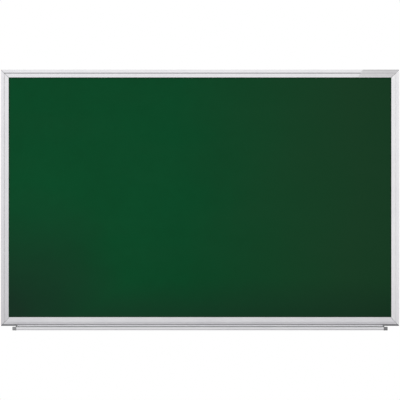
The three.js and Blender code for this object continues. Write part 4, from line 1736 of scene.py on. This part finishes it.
@dataclass
class BackHardware:
    """Cleats, hanger plates, cams, rivets and screws in the frame's back corners, in millimetres."""

    finishes: Finishes
    plate_ease: float = 0.45
    cam_ease: float = 0.3
    screw_ease: float = 0.18
    cleat_ease: float = 0.5

    def build(self) -> None:
        """Makes the hardware of every corner."""
        for vertical, side in CORNERS:
            place = f"{vertical}_{side}"
            self._dress(f"hanger_plate_{place}", self.plate_ease, self.finishes.plate, Slot.GALVANISED)
            self._dress(f"corner_cleat_{place}", self.cleat_ease, self.finishes.zinc, Slot.ZINC)
            for way in ("across", "upright"):
                for kind in ("cleat_screw", "plate_screw"):
                    self._dress(f"{kind}_{place}_{way}", self.screw_ease, self.finishes.plated, Slot.PLATED)
        for side, body in (("left", Body.CAM_LEFT), ("right", Body.CAM_RIGHT)):
            self._dress(f"cam_rivet_{side}", self.screw_ease, self.finishes.plated, Slot.PLATED)
            self._dress(f"levelling_cam_{side}", self.cam_ease, self.finishes.plated, Slot.PLATED, body)

    def _dress(
        self, node: str, ease: float, finish: bpy.types.Material, slot: Slot, body: Body = Body.BOARD
    ) -> None:
        """Replaces one node by its eased copy.

        Args:
            node: The CAD node's name.
            ease: How wide its edges are eased, in millimetres.
            finish: Its material.
            slot: The record's slot.
            body: The body that it rides on.
        """
        hand_over(eased_copy(node, ease), finish, slot, body, node)


# Floor, light and camera


@dataclass(frozen=True)
class SoftBox:
    """A square lamp that looks at a point of the board, in metres and watts, and that gloss doesn't show."""

    name: str
    place: tuple[float, float, float]
    target: tuple[float, float, float]
    size: float
    power: float

    def build(self) -> None:
        """Makes the lamp."""
        light = bpy.data.lights.new(self.name, "AREA")
        light.shape = "SQUARE"
        light.size = self.size
        light.energy = self.power
        lamp = bpy.data.objects.new(self.name, light)
        lamp.location = self.place
        lamp.visible_camera = False
        lamp.visible_glossy = False
        lamp.rotation_euler = (Vector(self.target) - Vector(self.place)).to_track_quat("-Z", "Y").to_euler()
        bpy.context.scene.collection.objects.link(lamp)


@dataclass
class Studio:
    """The pale floor, white surround, lamp and camera, in metres, but the sensor in millimetres."""

    floor_drop: float = 0.30
    floor_front: float = -0.95
    floor_back: float = 0.5
    floor_half_width: float = 2.2
    floor_color: Rgb = (0.55, 0.55, 0.55)
    floor_cloud: float = 0.97
    floor_cloud_scale: float = 2.0
    floor_roughness: float = 0.8
    lamp: SoftBox = SoftBox(
        "key_lamp", place=(-0.55, -1.75, -0.40), target=(-0.45, 0.0, -0.46), size=1.0, power=21.0
    )
    surround_strength: float = 0.35
    view_width: float = 1.5056
    view_distance: float = 12.0
    view_height: float = -0.4834
    sensor: float = 36.0

    def build(self) -> None:
        """Sets up everything that isn't part of the board."""
        self._floor()
        self._surround()
        self.lamp.build()
        self._camera()
        bpy.context.scene.view_settings.view_transform = "Standard"

    def _floor(self) -> None:
        """A pale floor below the board."""
        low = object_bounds()[0].z - self.floor_drop
        half = self.floor_half_width
        shape = bmesh.new()
        corners = [(-half, self.floor_front), (half, self.floor_front), (half, self.floor_back),
                   (-half, self.floor_back)]
        shape.faces.new([shape.verts.new((x, y, low)) for x, y in corners])
        floor = make_object("floor", shape)
        material = bpy.data.materials.new("pale_floor")
        material.use_nodes = True
        bench = NodeBench(material.node_tree)
        surface = material.node_tree.nodes["Principled BSDF"]
        spots = Finish.spots(bench)
        darker = tuple(channel * self.floor_cloud for channel in self.floor_color)
        tones = {"Dark": rgba(darker), "Light": rgba(self.floor_color)}
        tone = MOTTLE.place(bench, Vector=spots, Scale=self.floor_cloud_scale, **tones)
        bench.feed(surface.inputs["Base Color"], tone["Color"])
        surface.inputs["Roughness"].default_value = self.floor_roughness
        floor.data.materials.append(material)
        floor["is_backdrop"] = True

    def _surround(self) -> None:
        """A white surround for the camera and for gloss, and a softer one that lights the board."""
        world = bpy.data.worlds.new("white_surround")
        bpy.context.scene.world = world
        world.use_nodes = True
        bench = NodeBench(world.node_tree)
        ray = bench.add("ShaderNodeLightPath")
        seen = bench.math("MAXIMUM", ray.outputs["Is Camera Ray"], ray.outputs["Is Glossy Ray"])
        seen = bench.math("MAXIMUM", seen, ray.outputs["Is Transmission Ray"])
        background = world.node_tree.nodes["Background"]
        background.inputs["Color"].default_value = (1.0, 1.0, 1.0, 1.0)
        strength = bench.spread(seen, to=(self.surround_strength, 1.0))
        bench.feed(background.inputs["Strength"], strength)

    def _camera(self) -> None:
        """A camera square to the board, at the height of the photograph's middle."""
        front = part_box("rail_top")[0].y
        lens = bpy.data.cameras.new("camera")
        lens.sensor_width = self.sensor
        lens.lens = self.sensor * self.view_distance / self.view_width
        camera = bpy.data.objects.new("camera", lens)
        camera.location = (0.0, front - self.view_distance, self.view_height)
        camera.rotation_euler = (math.pi / 2, 0.0, 0.0)
        bpy.context.scene.collection.objects.link(camera)
        bpy.context.scene.camera = camera


def main() -> None:
    """Builds the board round its frame, and then the studio."""
    logging.basicConfig(level=logging.INFO, format="%(name)s: %(message)s")
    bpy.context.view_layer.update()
    finishes = Finishes()
    for assembly in (
        FrameRails(finishes),
        WritingPanel(finishes),
        ChalkTray(finishes),
        LabelClip(finishes),
        BackHardware(finishes),
        Studio(),
    ):
        log.info("building %s", type(assembly).__name__)
        assembly.build()


if __name__ == "__main__":
    main()
